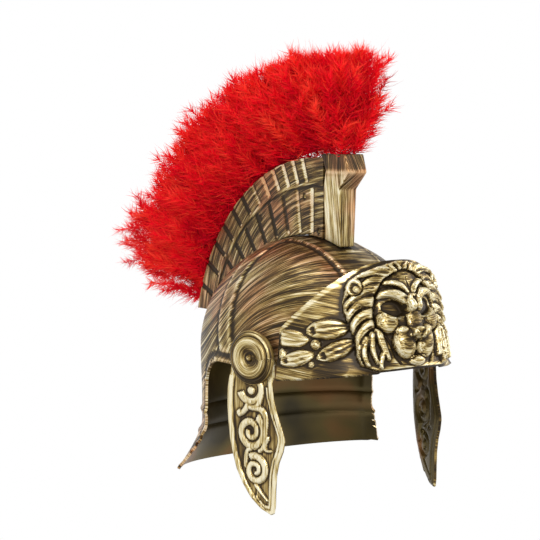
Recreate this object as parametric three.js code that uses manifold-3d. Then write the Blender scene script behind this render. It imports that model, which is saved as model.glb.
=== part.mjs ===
// A costume Roman legionary helmet in antique gold plastic, with a lion on its brow plate,
// scrolled cheek guards that swing on studs, and a red feather plume in an arched crest box.
// Millimetres. +Z is up, the face looks along -Y and the wearer's right is -X.
// The origin is the inside of the crown, where the helmet sits on the head.
import * as THREE from "three";
import { mergeVertices } from "three/addons/utils/BufferGeometryUtils.js";
import Module from "manifold-3d";

const wasm = await Module();
wasm.setup();

// Dome
const domeHalfWidth = 100;
const domeHalfLength = 120;
const domeHeight = 104;
const shellWall = 2.4;
const columns = 36;
const domeRows = 9;

// Raised cross bands on the dome
const bandRise = 1.2;
const longBandHalfWidth = 24;
const crossBandWidth = 18;
const crossBandBack = 20;
const crossBandSweep = 33;
const bandCornerRadius = 12;

// Neck guard and ear arches
const neckHalfWidth = 102;
const neckHalfLength = 112;
const neckDepth = 44;
const flareDepth = 105;
const flareHalfWidth = 132;
const flareHalfLength = 113;
const flareDroop = 12;
const ridgeRise = 1.6;
const earTop = 5;
const earEdgeBack = 36;
const earCornerBack = 51;
const earRimWidth = 5;
const browRimHeight = 12;

// Cheek guard pivots
const pivotForward = 41;
const pivotHeight = 4.7;
const studRadius = 3;
const studHeadRadius = 6.5;
const studHeadThickness = 2;
const studHeadClear = 1.2;
const fitGap = 0.3;

// Brow plate
const browHalfWidth = 104.5;
const browHalfLength = 145;
const browTopHalfWidth = 84;
const browTopHalfLength = 118;
const browTop = 91;
const browEndTop = 31;
const browBottom = -1;
const browEndBottom = -12;
const browEndAngle = 61.5;
const browWall = 2.4;
const browLip = 1.5;
const browColumns = 26;
const browRows = 5;
const lugRadius = 11;
const lugThickness = 2;

// Lion and leaves on the brow plate
const lionHalfAngle = 33;
const lionHalfWidth = 56;
const lionTall = 88;
const lionProud = 9;
const laurelRise = 45;
const leafLength = 37;
const leafWidth = 16;
const leafProud = 4.5;
const berryRadius = 4.5;

// Cheek guards
const cheekDrop = 137;
const cheekHalfWidth = 28;
const cheekThickness = 2.4;
const cheekRimWidth = 4.5;
const cheekRimRise = 1.8;
const cheekTopRadius = 21;
const scrollRadius = 12.5;
const scrollWidth = 3.2;
const scrollRise = 1.6;

// Rosettes
const rosetteRadius = 24;
const rosetteThickness = 7;

// Crest box
const crestCentre = { y: -19, z: -35 };
const crestRadius = 212.5;
const crestBandDepth = 25.5;
const crestStepRadius = crestRadius - crestBandDepth;
const crestRearAngle = 15;
const crestHalfWidth = 10.5;
const crestStep = 1.2;
const crestWall = 2.2;
const postHalfWidth = 10.2;
const postRear = -25;
const postFront = -50;
const capRear = -37;
const capFront = -64;
const capAboveCrest = 2.5;
const capDepth = 15;
const capFootDepth = 16;
const capTop = crestCentre.z + crestRadius + capAboveCrest;
const capEdge = capTop - capDepth;
const capFoot = capEdge - capFootDepth;
const slotFan = { y: -98, z: -29 };
const slotWidth = 3;
const slotDepth = 1.2;
const upperSlots = { first: 83, pitch: 4, growth: 0.14, count: 12 };
const lowerSlots = { first: 86.4, pitch: 7.35, growth: 0, count: 9 };
const pinRadius = 2;
const pinRecess = 1;
const pins = [
  { name: "crest_pin_front_upper", y: 4, z: 141 },
  { name: "crest_pin_front_lower", y: -18, z: 110 },
  { name: "crest_pin_middle", y: 75, z: 118 },
];

// Plume, as sections from the front of the crest to its rear end.
// at is the share of the crest's arc, lean the feathers' tilt from the arc's own radius in
// degrees, reach and spread are shares of plumeReach and plumeHalfWidth, lift is how far
// above the crest's arc they spread out.
const plumeReach = 152;
const plumeHalfWidth = 32;
const plumeRoot = 8;
const plumeFrontAngle = 97.3;
const plumeRearAngle = 18;
const plumeSections = [
  { at: 0.0, lean: -34, reach: 0.22, spread: 0.55, lift: 6 },
  { at: 0.0, lean: -18, reach: 0.42, spread: 0.75, lift: 6 },
  { at: 0.0, lean: -11, reach: 0.56, spread: 0.9, lift: 6 },
  { at: 0.06, lean: -6, reach: 0.62, spread: 1.0, lift: 5 },
  { at: 0.14, lean: -2, reach: 0.61, spread: 1.0, lift: 1 },
  { at: 0.23, lean: 0, reach: 0.6, spread: 1.0, lift: 1 },
  { at: 0.33, lean: 1, reach: 0.61, spread: 1.0, lift: 1 },
  { at: 0.43, lean: 2, reach: 0.64, spread: 1.0, lift: 1 },
  { at: 0.53, lean: 2, reach: 0.67, spread: 1.0, lift: 1 },
  { at: 0.63, lean: 2, reach: 0.71, spread: 1.0, lift: 1 },
  { at: 0.73, lean: 1, reach: 0.78, spread: 1.0, lift: 1 },
  { at: 0.83, lean: 0, reach: 0.87, spread: 1.0, lift: 1 },
  { at: 0.92, lean: -1, reach: 0.96, spread: 0.9, lift: 1 },
  { at: 0.97, lean: 1, reach: 0.98, spread: 0.75, lift: 1 },
  { at: 1.0, lean: 10, reach: 0.88, spread: 0.6, lift: 1 },
  { at: 1.0, lean: 26, reach: 0.55, spread: 0.45, lift: 1 },
];
// The plume's half thickness at shares of the feathers' reach.
const plumeProfile = [
  { along: 0.03, thick: 0.4 },
  { along: 0.2, thick: 0.7 },
  { along: 0.45, thick: 0.95 },
  { along: 0.7, thick: 1.0 },
  { along: 0.88, thick: 0.75 },
  { along: 1.0, thick: 0.3 },
];
const lockLength = 46;
const lockRadius = 9;
const lockOverhang = 0.06;
const lockColumns = 13;
const lockSides = [-0.62, 0, 0.62];

const radians = THREE.MathUtils.degToRad;
const sideView = new THREE.Matrix4().makeBasis(
  new THREE.Vector3(0, 1, 0),
  new THREE.Vector3(0, 0, 1),
  new THREE.Vector3(1, 0, 0),
);

// Closed geometry from three.js to a solid, and back to a plain faceted geometry.
function solidOf(geometry) {
  const bare = new THREE.BufferGeometry().setAttribute(
    "position",
    (geometry.index ? geometry.toNonIndexed() : geometry).getAttribute("position"),
  );
  const merged = mergeVertices(bare, 1e-4);
  const index = merged.index.array;
  const kept = [];
  for (let i = 0; i < index.length; i += 3) {
    const [a, b, c] = [index[i], index[i + 1], index[i + 2]];
    if (a !== b && b !== c && c !== a) kept.push(a, b, c);
  }
  return new wasm.Manifold(
    new wasm.Mesh({
      numProp: 3,
      vertProperties: merged.attributes.position.array,
      triVerts: new Uint32Array(kept),
    }),
  );
}

function geometryOf(solid) {
  const mesh = solid.getMesh();
  const points = new Float32Array(mesh.numVert * 3);
  for (let i = 0; i < mesh.numVert; i++) {
    for (let k = 0; k < 3; k++) points[3 * i + k] = mesh.vertProperties[mesh.numProp * i + k];
  }
  const geometry = new THREE.BufferGeometry().setAttribute(
    "position",
    new THREE.BufferAttribute(points, 3),
  );
  geometry.setIndex(new THREE.BufferAttribute(mesh.triVerts, 1));
  const flat = geometry.toNonIndexed();
  flat.computeVertexNormals();
  return flat;
}

function together(solids) {
  return solids.reduce((sum, solid) => sum.add(solid));
}

// A sheet with thickness between two grids of points, which both run row by row.
// wrapped joins the last column to the first.
function sheetSolid(outer, inner, wrapped = false) {
  const positions = [];
  const triangle = (a, b, c) => positions.push(...a.toArray(), ...b.toArray(), ...c.toArray());
  const quad = (a, b, c, d) => {
    triangle(a, b, c);
    triangle(a, c, d);
  };
  const rows = outer.length;
  const count = outer[0].length;
  const last = wrapped ? count : count - 1;
  for (let i = 0; i < rows - 1; i++) {
    for (let j = 0; j < last; j++) {
      const k = (j + 1) % count;
      quad(outer[i][j], outer[i + 1][j], outer[i + 1][k], outer[i][k]);
      quad(inner[i][j], inner[i][k], inner[i + 1][k], inner[i + 1][j]);
    }
  }
  for (let j = 0; j < last; j++) {
    const k = (j + 1) % count;
    quad(outer[rows - 1][j], inner[rows - 1][j], inner[rows - 1][k], outer[rows - 1][k]);
    if (!wrapped) quad(outer[0][k], inner[0][k], inner[0][j], outer[0][j]);
  }
  if (!wrapped) {
    for (let i = 0; i < rows - 1; i++) {
      quad(outer[i][0], inner[i][0], inner[i + 1][0], outer[i + 1][0]);
      const end = count - 1;
      quad(outer[i + 1][end], inner[i + 1][end], inner[i][end], outer[i][end]);
    }
  }
  const geometry = new THREE.BufferGeometry().setAttribute(
    "position",
    new THREE.Float32BufferAttribute(positions, 3),
  );
  return solidOf(geometry);
}

function shapeOf(points) {
  return new THREE.Shape(points.map(([u, v]) => new THREE.Vector2(u, v)));
}

// A side-view outline in Y and Z, extruded along X from low to high.
function sideSolid(points, low, high) {
  const geometry = new THREE.ExtrudeGeometry(shapeOf(points), {
    depth: high - low,
    bevelEnabled: false,
  });
  geometry.translate(0, 0, low).applyMatrix4(sideView);
  return solidOf(geometry);
}

function arcPoints(centre, radius, from, to, steps) {
  const points = [];
  for (let i = 0; i <= steps; i++) {
    const angle = radians(from + ((to - from) * i) / Math.max(1, steps));
    points.push([centre.y + radius * Math.cos(angle), centre.z + radius * Math.sin(angle)]);
  }
  return points;
}

// Dome and neck guard as rings of levels: half width and half length of the plan ellipse.
function shellLevels(grow) {
  const levels = [];
  for (let i = 0; i <= domeRows; i++) {
    const angle = radians(90 - (90 * i) / domeRows);
    levels.push({
      z: (domeHeight + grow) * Math.sin(angle),
      halfWidth: (domeHalfWidth + grow) * Math.cos(angle),
      halfLength: (domeHalfLength + grow) * Math.cos(angle),
    });
  }
  const neckRows = [
    { down: 0.5, toNeck: 0.45, toFlare: 0, rise: 0 },
    { down: 1.0, toNeck: 1.0, toFlare: 0, rise: 0 },
    { down: 1.18, toNeck: 1.0, toFlare: 0, rise: 0 },
    { down: 1.26, toNeck: 1.0, toFlare: 0, rise: 1 },
    { down: 1.34, toNeck: 1.0, toFlare: 0, rise: 0 },
    { down: 1.62, toNeck: 1.0, toFlare: 0.03, rise: 0 },
    { down: 1.7, toNeck: 1.0, toFlare: 0.06, rise: 1 },
    { down: 1.78, toNeck: 1.0, toFlare: 0.12, rise: 0 },
    { down: 1.94, toNeck: 1.0, toFlare: 0.28, rise: 0 },
    { down: 2.16, toNeck: 1.0, toFlare: 0.58, rise: 0 },
    { down: flareDepth / neckDepth, toNeck: 1.0, toFlare: 1.0, rise: 0 },
  ];
  const mix = THREE.MathUtils.lerp;
  for (const row of neckRows) {
    const width = mix(domeHalfWidth, neckHalfWidth, row.toNeck);
    const length = mix(domeHalfLength, neckHalfLength, row.toNeck);
    levels.push({
      z: -neckDepth * row.down,
      halfWidth: mix(width, flareHalfWidth, row.toFlare) + grow + ridgeRise * row.rise,
      halfLength: mix(length, flareHalfLength, row.toFlare) + grow + ridgeRise * row.rise,
    });
  }
  return levels;
}

function shellSurface(grow) {
  return shellLevels(grow).map(({ z, halfWidth, halfLength }) => {
    const ring = [];
    for (let j = 0; j < columns; j++) {
      const angle = (2 * Math.PI * j) / columns;
      const rear = Math.max(0, -Math.cos(angle)) ** 2;
      const sink = flareDroop * rear * Math.max(0, -z / flareDepth);
      ring.push(
        new THREE.Vector3(
          halfWidth * Math.sin(angle),
          -halfLength * Math.cos(angle),
          z - sink,
        ),
      );
    }
    return ring;
  });
}

// Side-view outline of what is cut away below the rim: the face and the ear arches.
function openingOutline(rim) {
  const front = -domeHalfLength - 40;
  const floor = -flareDepth - flareDroop - 30;
  const arch = arcPoints({ y: earEdgeBack - 26, z: -earTop - 26 }, 26 - rim, 0, 90, 6);
  return [
    [front, floor],
    [earCornerBack + 12 - rim, floor],
    [earCornerBack - rim, -flareDepth],
    [earEdgeBack + 7 - rim, -flareDepth * 0.87],
    [earEdgeBack + 1 - rim, -flareDepth * 0.73],
    [earEdgeBack - rim, -neckDepth],
    ...arch,
    [-pivotForward + 14, -earTop - rim],
    [-pivotForward - 14, -earTop - rim],
    [-pivotForward - 32, browRimHeight - rim],
    [front, browRimHeight - rim],
  ];
}

// The cross band's front edge in the side view: how far back it is at a height on the dome.
function crossBandEdge(height) {
  const share = height / domeHeight;
  return crossBandBack - crossBandSweep * (1 - share) ** 1.15 - 9 * share ** 8;
}

function crossBandOutline() {
  const heights = [0, 0.2, 0.4, 0.6, 0.8, 0.95, 1.1].map((share) => share * domeHeight);
  const edge = heights.map((z) => [crossBandEdge(Math.min(z, domeHeight)), z]);
  const back = heights.map((z) => [crossBandEdge(Math.min(z, domeHeight)) + crossBandWidth, z]);
  return [...edge, ...back.reverse()];
}

// Plan-view cross with rounded inner corners, for the top of the dome.
function crossTopOutline() {
  const near = crossBandEdge(domeHeight);
  const far = near + crossBandWidth;
  const side = longBandHalfWidth;
  const reach = side + bandCornerRadius + 2;
  const front = -domeHalfLength - 10;
  const rear = domeHalfLength + 10;
  const corner = (x, y, from) => {
    const points = [];
    for (let i = 0; i <= 4; i++) {
      const angle = radians(from - (90 * i) / 4);
      points.push([x + bandCornerRadius * Math.cos(angle), y + bandCornerRadius * Math.sin(angle)]);
    }
    return points;
  };
  const r = bandCornerRadius;
  return [
    [-side, front],
    [side, front],
    ...corner(side + r, near - r, 180),
    [reach, near],
    [reach, far],
    ...corner(side + r, far + r, 270),
    [side, rear],
    [-side, rear],
    ...corner(-side - r, far + r, 0),
    [-reach, far],
    [-reach, near],
    ...corner(-side - r, near - r, 90),
  ];
}

// Where the stud stands on the dome's right side, and the frame of what turns on it.
const pivotSide =
  domeHalfWidth *
  Math.sqrt(1 - (pivotForward / domeHalfLength) ** 2 - (pivotHeight / domeHeight) ** 2);
const pivotPoint = new THREE.Vector3(-pivotSide, -pivotForward, pivotHeight);
const pivotOut = new THREE.Vector3(
  -pivotSide / domeHalfWidth ** 2,
  -pivotForward / domeHalfLength ** 2,
  0,
).normalize();
// Local X runs forward along the cheek guard, local Y up and local Z out of the helmet.
const upward = new THREE.Vector3(0, 0, 1);
const pivotFrame = new THREE.Matrix4()
  .makeBasis(upward.clone().cross(pivotOut), upward, pivotOut)
  .setPosition(pivotPoint);

function pivotCylinder(radius, low, high, sides = 14) {
  const geometry = new THREE.CylinderGeometry(radius, radius, high - low, sides);
  geometry.rotateX(Math.PI / 2).translate(0, 0, (low + high) / 2);
  return solidOf(geometry);
}

function placed(solid, matrix) {
  return solidOf(geometryOf(solid).applyMatrix4(matrix));
}

function mirrored(solid) {
  const geometry = geometryOf(solid).applyMatrix4(new THREE.Matrix4().makeScale(-1, 1, 1));
  const points = geometry.getAttribute("position").array;
  for (let i = 0; i < points.length; i += 9) {
    for (let k = 0; k < 3; k++) {
      [points[i + 3 + k], points[i + 6 + k]] = [points[i + 6 + k], points[i + 3 + k]];
    }
  }
  return solidOf(geometry);
}

function makeShell() {
  const wide = 2 * flareHalfWidth;
  const outer = shellSurface(0);
  const inner = shellSurface(-shellWall);
  const thick = sheetSolid(shellSurface(bandRise), inner, true);
  let shell = sheetSolid(outer, inner, true);
  const crossSides = sideSolid(crossBandOutline(), -wide, wide);
  const top = new THREE.ExtrudeGeometry(shapeOf(crossTopOutline()), {
    depth: 2 * domeHeight,
    bevelEnabled: false,
  });
  const crown = solidOf(top);
  const belowCrown = new THREE.BoxGeometry(wide, 4 * domeHalfLength, domeHeight * 0.8);
  belowCrown.translate(0, 0, domeHeight * 0.42);
  const sides = crossSides.intersect(solidOf(belowCrown));
  const rimBand = sideSolid(openingOutline(-earRimWidth), -wide, wide);
  const rear = new THREE.BoxGeometry(2 * wide, 2 * wide, 2 * wide);
  rear.translate(0, wide - pivotForward + lugRadius + 5, 0);
  shell = shell.add(thick.intersect(crown)).add(thick.intersect(sides));
  shell = shell.add(thick.intersect(rimBand).intersect(solidOf(rear)));
  shell = shell.subtract(sideSolid(openingOutline(0), -wide, wide));
  const hole = placed(pivotCylinder(studRadius + fitGap, -4 * shellWall, 12), pivotFrame);
  return shell.subtract(hole).subtract(mirrored(hole));
}

// A point on the brow plate: angle from the middle in degrees, height, and how far it stands out.
function browPoint(angle, height, out = 0) {
  const share = (height - browBottom) / (browTop - browBottom);
  const overEdge = height - browEdgeHeights(angle).bottom;
  const lip = browLip * Math.max(0, 1 - Math.max(0, overEdge) / 6);
  const halfWidth = THREE.MathUtils.lerp(browHalfWidth, browTopHalfWidth, share) + out + lip;
  const halfLength = THREE.MathUtils.lerp(browHalfLength, browTopHalfLength, share) + out + lip;
  const turn = radians(angle);
  return new THREE.Vector3(halfWidth * Math.sin(turn), -halfLength * Math.cos(turn), height);
}

function browEdgeHeights(angle) {
  const share = Math.abs(angle) / browEndAngle;
  const bottom = THREE.MathUtils.lerp(browBottom, browEndBottom, share ** 1.6);
  const top = browEndTop + (browTop - browEndTop) * Math.cos(share ** 1.25 * Math.PI * 0.5) ** 0.9;
  return { bottom, top };
}

// A rounded boss on the brow plate at an angle from its middle line and a height; turn tilts
// it in degrees.
function browBoss({ angle, up, wide, tall, proud, turn = 0 }, detail = 7) {
  const centre = browPoint(angle, up, -0.6);
  const beside = browPoint(angle + 2, up).sub(browPoint(angle - 2, up)).normalize();
  const above = browPoint(angle, up + 4).sub(browPoint(angle, up - 4)).normalize();
  const out = new THREE.Vector3().crossVectors(beside, above).normalize();
  const geometry = new THREE.SphereGeometry(1, detail, Math.max(4, detail - 3));
  geometry.scale(wide / 2, proud + 0.6, tall / 2).rotateY(radians(turn));
  const frame = new THREE.Matrix4().makeBasis(beside, out.negate(), above).setPosition(centre);
  geometry.applyMatrix4(frame);
  return solidOf(geometry);
}

// The lion's forms: at is a share of lionHalfAngle, up and tall are shares of lionTall, wide
// of lionHalfWidth, proud of lionProud. Each row off the middle line is made on both sides.
const lionForms = [
  { form: "forehead", at: 0, up: 0.76, wide: 0.5, tall: 0.3, proud: 0.8, turn: 0 },
  { form: "brow ridge", at: 0.24, up: 0.66, wide: 0.34, tall: 0.12, proud: 1.0, turn: -22 },
  { form: "eyeball", at: 0.26, up: 0.555, wide: 0.17, tall: 0.09, proud: 0.85, turn: 0 },
  { form: "nose bridge", at: 0, up: 0.47, wide: 0.2, tall: 0.44, proud: 1.15, turn: 0 },
  { form: "nose tip", at: 0, up: 0.285, wide: 0.28, tall: 0.12, proud: 1.5, turn: 0 },
  { form: "cheek", at: 0.42, up: 0.4, wide: 0.3, tall: 0.26, proud: 0.85, turn: 20 },
  { form: "muzzle", at: 0.18, up: 0.17, wide: 0.32, tall: 0.22, proud: 1.3, turn: -12 },
  { form: "chin", at: 0, up: 0.065, wide: 0.26, tall: 0.1, proud: 0.9, turn: 0 },
  { form: "ear", at: 0.76, up: 0.79, wide: 0.24, tall: 0.16, proud: 0.85, turn: 25 },
  { form: "crown lock", at: 0.14, up: 0.93, wide: 0.22, tall: 0.16, proud: 0.6, turn: 15 },
  { form: "temple lock", at: 0.42, up: 0.85, wide: 0.4, tall: 0.14, proud: 0.6, turn: 30 },
  { form: "upper lock", at: 0.74, up: 0.62, wide: 0.45, tall: 0.16, proud: 0.75, turn: -10 },
  { form: "side lock", at: 0.78, up: 0.44, wide: 0.46, tall: 0.18, proud: 0.7, turn: 20 },
  { form: "lower lock", at: 0.7, up: 0.27, wide: 0.42, tall: 0.16, proud: 0.75, turn: 36 },
  { form: "paw", at: 0.66, up: 0.08, wide: 0.36, tall: 0.17, proud: 0.9, turn: 8 },
];
// The laurel between the lion and the plate's end: at and up are shares of that run and of
// laurelRise, wide and tall of leafLength and leafWidth.
const laurel = [
  { at: 0.24, up: 0.72, wide: 1.0, tall: 1.0, turn: 6 },
  { at: 0.18, up: 0.3, wide: 0.84, tall: 0.95, turn: 30 },
  { at: 0.78, up: 0.6, wide: 0.76, tall: 0.95, turn: 2 },
  { at: 0.68, up: 0.1, wide: 0.78, tall: 0.85, turn: 18 },
];
const berries = [
  { at: 0.47, up: 0.44 },
  { at: 0.93, up: 0.2 },
];

function makeBrowPlate() {
  const outer = [];
  const inner = [];
  for (let i = 0; i <= browRows; i++) {
    const outerRow = [];
    const innerRow = [];
    for (let j = 0; j <= browColumns; j++) {
      const angle = browEndAngle * ((2 * j) / browColumns - 1);
      const { bottom, top } = browEdgeHeights(angle);
      const height = THREE.MathUtils.lerp(top, bottom, i / browRows);
      outerRow.push(browPoint(angle, height));
      innerRow.push(browPoint(angle, height, -browWall));
    }
    outer.push(outerRow);
    inner.push(innerRow);
  }
  const bosses = [];
  const bothSides = (row, detail = 6) => {
    bosses.push(browBoss(row, detail));
    if (row.angle !== 0) {
      bosses.push(browBoss({ ...row, angle: -row.angle, turn: -(row.turn ?? 0) }, detail));
    }
  };
  for (const row of lionForms) {
    bothSides({
      angle: row.at * lionHalfAngle,
      up: row.up * lionTall,
      wide: row.wide * lionHalfWidth,
      tall: row.tall * lionTall,
      proud: row.proud * lionProud,
      turn: row.turn,
    });
  }
  const laurelSpan = browEndAngle - lionHalfAngle;
  for (const row of laurel) {
    bothSides(
      {
        angle: lionHalfAngle + row.at * laurelSpan,
        up: row.up * laurelRise,
        wide: row.wide * leafLength,
        tall: row.tall * leafWidth,
        proud: leafProud,
        turn: row.turn,
      },
      8,
    );
  }
  for (const row of berries) {
    bothSides(
      {
        angle: lionHalfAngle + row.at * laurelSpan,
        up: row.up * laurelRise,
        wide: 2 * berryRadius,
        tall: 2 * berryRadius,
        proud: berryRadius,
      },
      7,
    );
  }
  const behind = [];
  for (let i = 0; i <= 2; i++) {
    const row = [];
    for (let j = 0; j <= browColumns; j++) {
      const angle = (browEndAngle + 4) * ((2 * j) / browColumns - 1);
      row.push(browPoint(angle, THREE.MathUtils.lerp(browTop + 30, browEndBottom - 30, i / 2), -0.9));
    }
    behind.push(row);
  }
  const deeper = behind.map((row) => row.map((p) => p.clone().multiply(new THREE.Vector3(0.7, 0.7, 1))));
  const relief = together(bosses).subtract(sheetSolid(behind, deeper));
  let plate = sheetSolid(outer, inner).add(relief);

  // The end flange and lug by which the stud holds each end.
  const end = browPoint(-browEndAngle, 0);
  const toPivot = pivotFrame.clone().invert();
  const local = end.clone().applyMatrix4(toPivot);
  const flangeTop = browEndTop - pivotHeight - 1.5;
  const flangeBottom = browEndBottom - pivotHeight + 1;
  const flange = new THREE.BoxGeometry(browWall, flangeTop - flangeBottom, local.z - fitGap - 0.6);
  flange.translate(
    local.x + 1.6,
    (flangeTop + flangeBottom) / 2,
    fitGap + (local.z - fitGap - 0.6) / 2,
  );
  const arm = new THREE.BoxGeometry(local.x + 2, 2 * lugRadius * 0.8, lugThickness);
  arm.translate((local.x + 2) / 2, 0, fitGap + lugThickness / 2);
  let lug = pivotCylinder(lugRadius, fitGap, fitGap + lugThickness).add(solidOf(arm));
  lug = lug.add(solidOf(flange));
  lug = lug.subtract(pivotCylinder(studRadius + fitGap, -5, 10));
  const lugRight = placed(lug, pivotFrame);
  plate = plate.add(lugRight).add(mirrored(lugRight));
  return plate;
}

// Cheek guard outline in its own frame: forward of the pivot and down from it, as shares of
// cheekHalfWidth and cheekDrop. The back edge runs down and the front edge up.
const cheekBackEdge = [
  { forward: -1.0, down: 0.22 },
  { forward: -1.0, down: 0.43 },
  { forward: -0.92, down: 0.54 },
  { forward: -0.82, down: 0.625 },
  { forward: -0.64, down: 0.74 },
  { forward: -0.4, down: 0.825 },
  { forward: -0.08, down: 0.91 },
  { forward: 0.33, down: 0.97 },
  { forward: 0.73, down: 1.0 },
];
const cheekFrontEdge = [
  { forward: 0.93, down: 0.98 },
  { forward: 0.95, down: 0.84 },
  { forward: 0.99, down: 0.74 },
  { forward: 1.09, down: 0.653 },
  { forward: 1.27, down: 0.571 },
  { forward: 1.32, down: 0.512 },
  { forward: 1.27, down: 0.46 },
  { forward: 1.1, down: 0.381 },
  { forward: 0.94, down: 0.288 },
  { forward: 0.85, down: 0.193 },
];

function cheekOutline(inset) {
  const edge = [...cheekBackEdge, ...cheekFrontEdge].map((row) => [
    row.forward * cheekHalfWidth,
    -row.down * cheekDrop,
  ]);
  const radius = cheekTopRadius - inset;
  const top = [];
  for (let i = 0; i <= 12; i++) {
    const angle = radians(-12 + (204 * i) / 12);
    top.push([radius * Math.cos(angle), radius * Math.sin(angle)]);
  }
  const inward = edge.map(([u, v], i) => {
    const [pu, pv] = edge[Math.max(0, i - 1)];
    const [nu, nv] = edge[Math.min(edge.length - 1, i + 1)];
    const length = Math.hypot(nu - pu, nv - pv);
    return [u - (inset * (nv - pv)) / length, v + (inset * (nu - pu)) / length];
  });
  return [...inward, ...top];
}

// A scroll: a band that winds in from its tail, in the cheek guard's own frame.
function scrollSolid({ forward, down, radius, turns, start, hand }) {
  const steps = Math.round(14 * turns);
  const outside = [];
  const inside = [];
  for (let i = 0; i <= steps; i++) {
    const share = i / steps;
    const angle = radians(start) + hand * share * turns * 2 * Math.PI;
    const reach = radius * (1 - 0.78 * share);
    const half = (scrollWidth / 2) * (1 - 0.35 * share);
    const centre = [forward * cheekHalfWidth, -down * cheekDrop];
    outside.push([
      centre[0] + (reach + half) * Math.cos(angle),
      centre[1] + (reach + half) * Math.sin(angle),
    ]);
    inside.push([
      centre[0] + (reach - half) * Math.cos(angle),
      centre[1] + (reach - half) * Math.sin(angle),
    ]);
  }
  const geometry = new THREE.ExtrudeGeometry(shapeOf([...outside, ...inside.reverse()]), {
    depth: scrollRise + 0.6,
    bevelEnabled: false,
  });
  geometry.translate(0, 0, cheekThickness - 0.6);
  return solidOf(geometry);
}

const scrolls = [
  { forward: -0.1, down: 0.2, radius: 0.84 * scrollRadius, turns: 1.15, start: 250, hand: -1 },
  { forward: -0.24, down: 0.49, radius: scrollRadius, turns: 1.6, start: -60, hand: 1 },
  { forward: 0.2, down: 0.74, radius: 0.8 * scrollRadius, turns: 1.5, start: 120, hand: 1 },
];

function makeCheekGuard() {
  const plate = new THREE.ExtrudeGeometry(shapeOf(cheekOutline(0)), {
    depth: cheekThickness,
    bevelEnabled: false,
  });
  const full = new THREE.ExtrudeGeometry(shapeOf(cheekOutline(0)), {
    depth: cheekThickness + cheekRimRise,
    bevelEnabled: false,
  });
  const field = new THREE.ExtrudeGeometry(shapeOf(cheekOutline(cheekRimWidth)), {
    depth: 3 * cheekRimRise,
    bevelEnabled: false,
  });
  field.translate(0, 0, cheekThickness);
  const underRosette = pivotCylinder(rosetteRadius + 0.6, cheekThickness, 3 * cheekThickness, 28);
  const relief = together(scrolls.map(scrollSolid));
  let guard = solidOf(full).subtract(solidOf(field)).add(solidOf(plate)).add(relief);
  guard = guard.subtract(underRosette);
  return guard.subtract(pivotCylinder(studRadius + fitGap, -5, 20));
}

function makeRosette() {
  const share = (radius, height) =>
    new THREE.Vector2(radius * rosetteRadius, height * rosetteThickness);
  const profile = [
    new THREE.Vector2(0, 0),
    share(1, 0),
    share(1, 0.38),
    share(0.88, 0.5),
    share(0.84, 0.42),
    share(0.74, 0.8),
    share(0.58, 0.96),
    share(0.42, 0.86),
    share(0.28, 0.58),
    share(0.15, 0.56),
    share(0.12, 0.92),
    new THREE.Vector2(0, rosetteThickness),
  ];
  const geometry = new THREE.LatheGeometry(profile, 20);
  return solidOf(geometry.rotateX(Math.PI / 2));
}

// The stud runs from its head inside the dome, through the lug and the guard, to the rosette.
const cheekSeat = 2 * fitGap + lugThickness;
const rosetteSeat = cheekSeat + cheekThickness + fitGap;

function makeStud() {
  const headTop = -shellWall - fitGap - studHeadClear;
  const head = pivotCylinder(studHeadRadius, headTop - studHeadThickness, headTop);
  return head.add(pivotCylinder(studRadius, headTop - 0.5, rosetteSeat - fitGap));
}

// The dome's middle line, raised band and seat gap included, from the top to the rear.
const seatLine = shellLevels(bandRise + fitGap)
  .slice(0, domeRows + 1)
  .map(({ z, halfLength }) => ({ y: halfLength, z }));

function crestSeat(y) {
  const reach = Math.min(Math.abs(y), seatLine.at(-1).y);
  const next = Math.max(1, seatLine.findIndex((point) => point.y >= reach));
  const near = seatLine[next - 1];
  const far = seatLine[next];
  return THREE.MathUtils.mapLinear(reach, near.y, far.y, near.z, far.z);
}

function crestFloor(lift, from, to) {
  const stops = seatLine.flatMap(({ y }) => [-y, y]).filter((y) => y > from && y < to);
  const line = [...new Set([from, ...stops, to])].sort((a, b) => a - b);
  return line.map((y) => [y, crestSeat(y) + lift]);
}

// Outline of the crest box in the side view up to a radius, shrunk by a wall where asked.
function crestOutline(radius, wall) {
  const rear = crestRearAngle + THREE.MathUtils.radToDeg(wall / crestRadius);
  const frontAngle = THREE.MathUtils.radToDeg(
    Math.acos((postFront + wall - crestCentre.y) / radius),
  );
  const floorEnd = domeHalfLength - 1.2 - wall;
  return [
    ...crestFloor(wall, postFront + wall, floorEnd),
    ...(radius > crestRadius ? arcPoints(crestCentre, crestRadius, rear, rear, 0) : []),
    ...arcPoints(crestCentre, radius, rear, frontAngle, 20),
  ];
}

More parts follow.
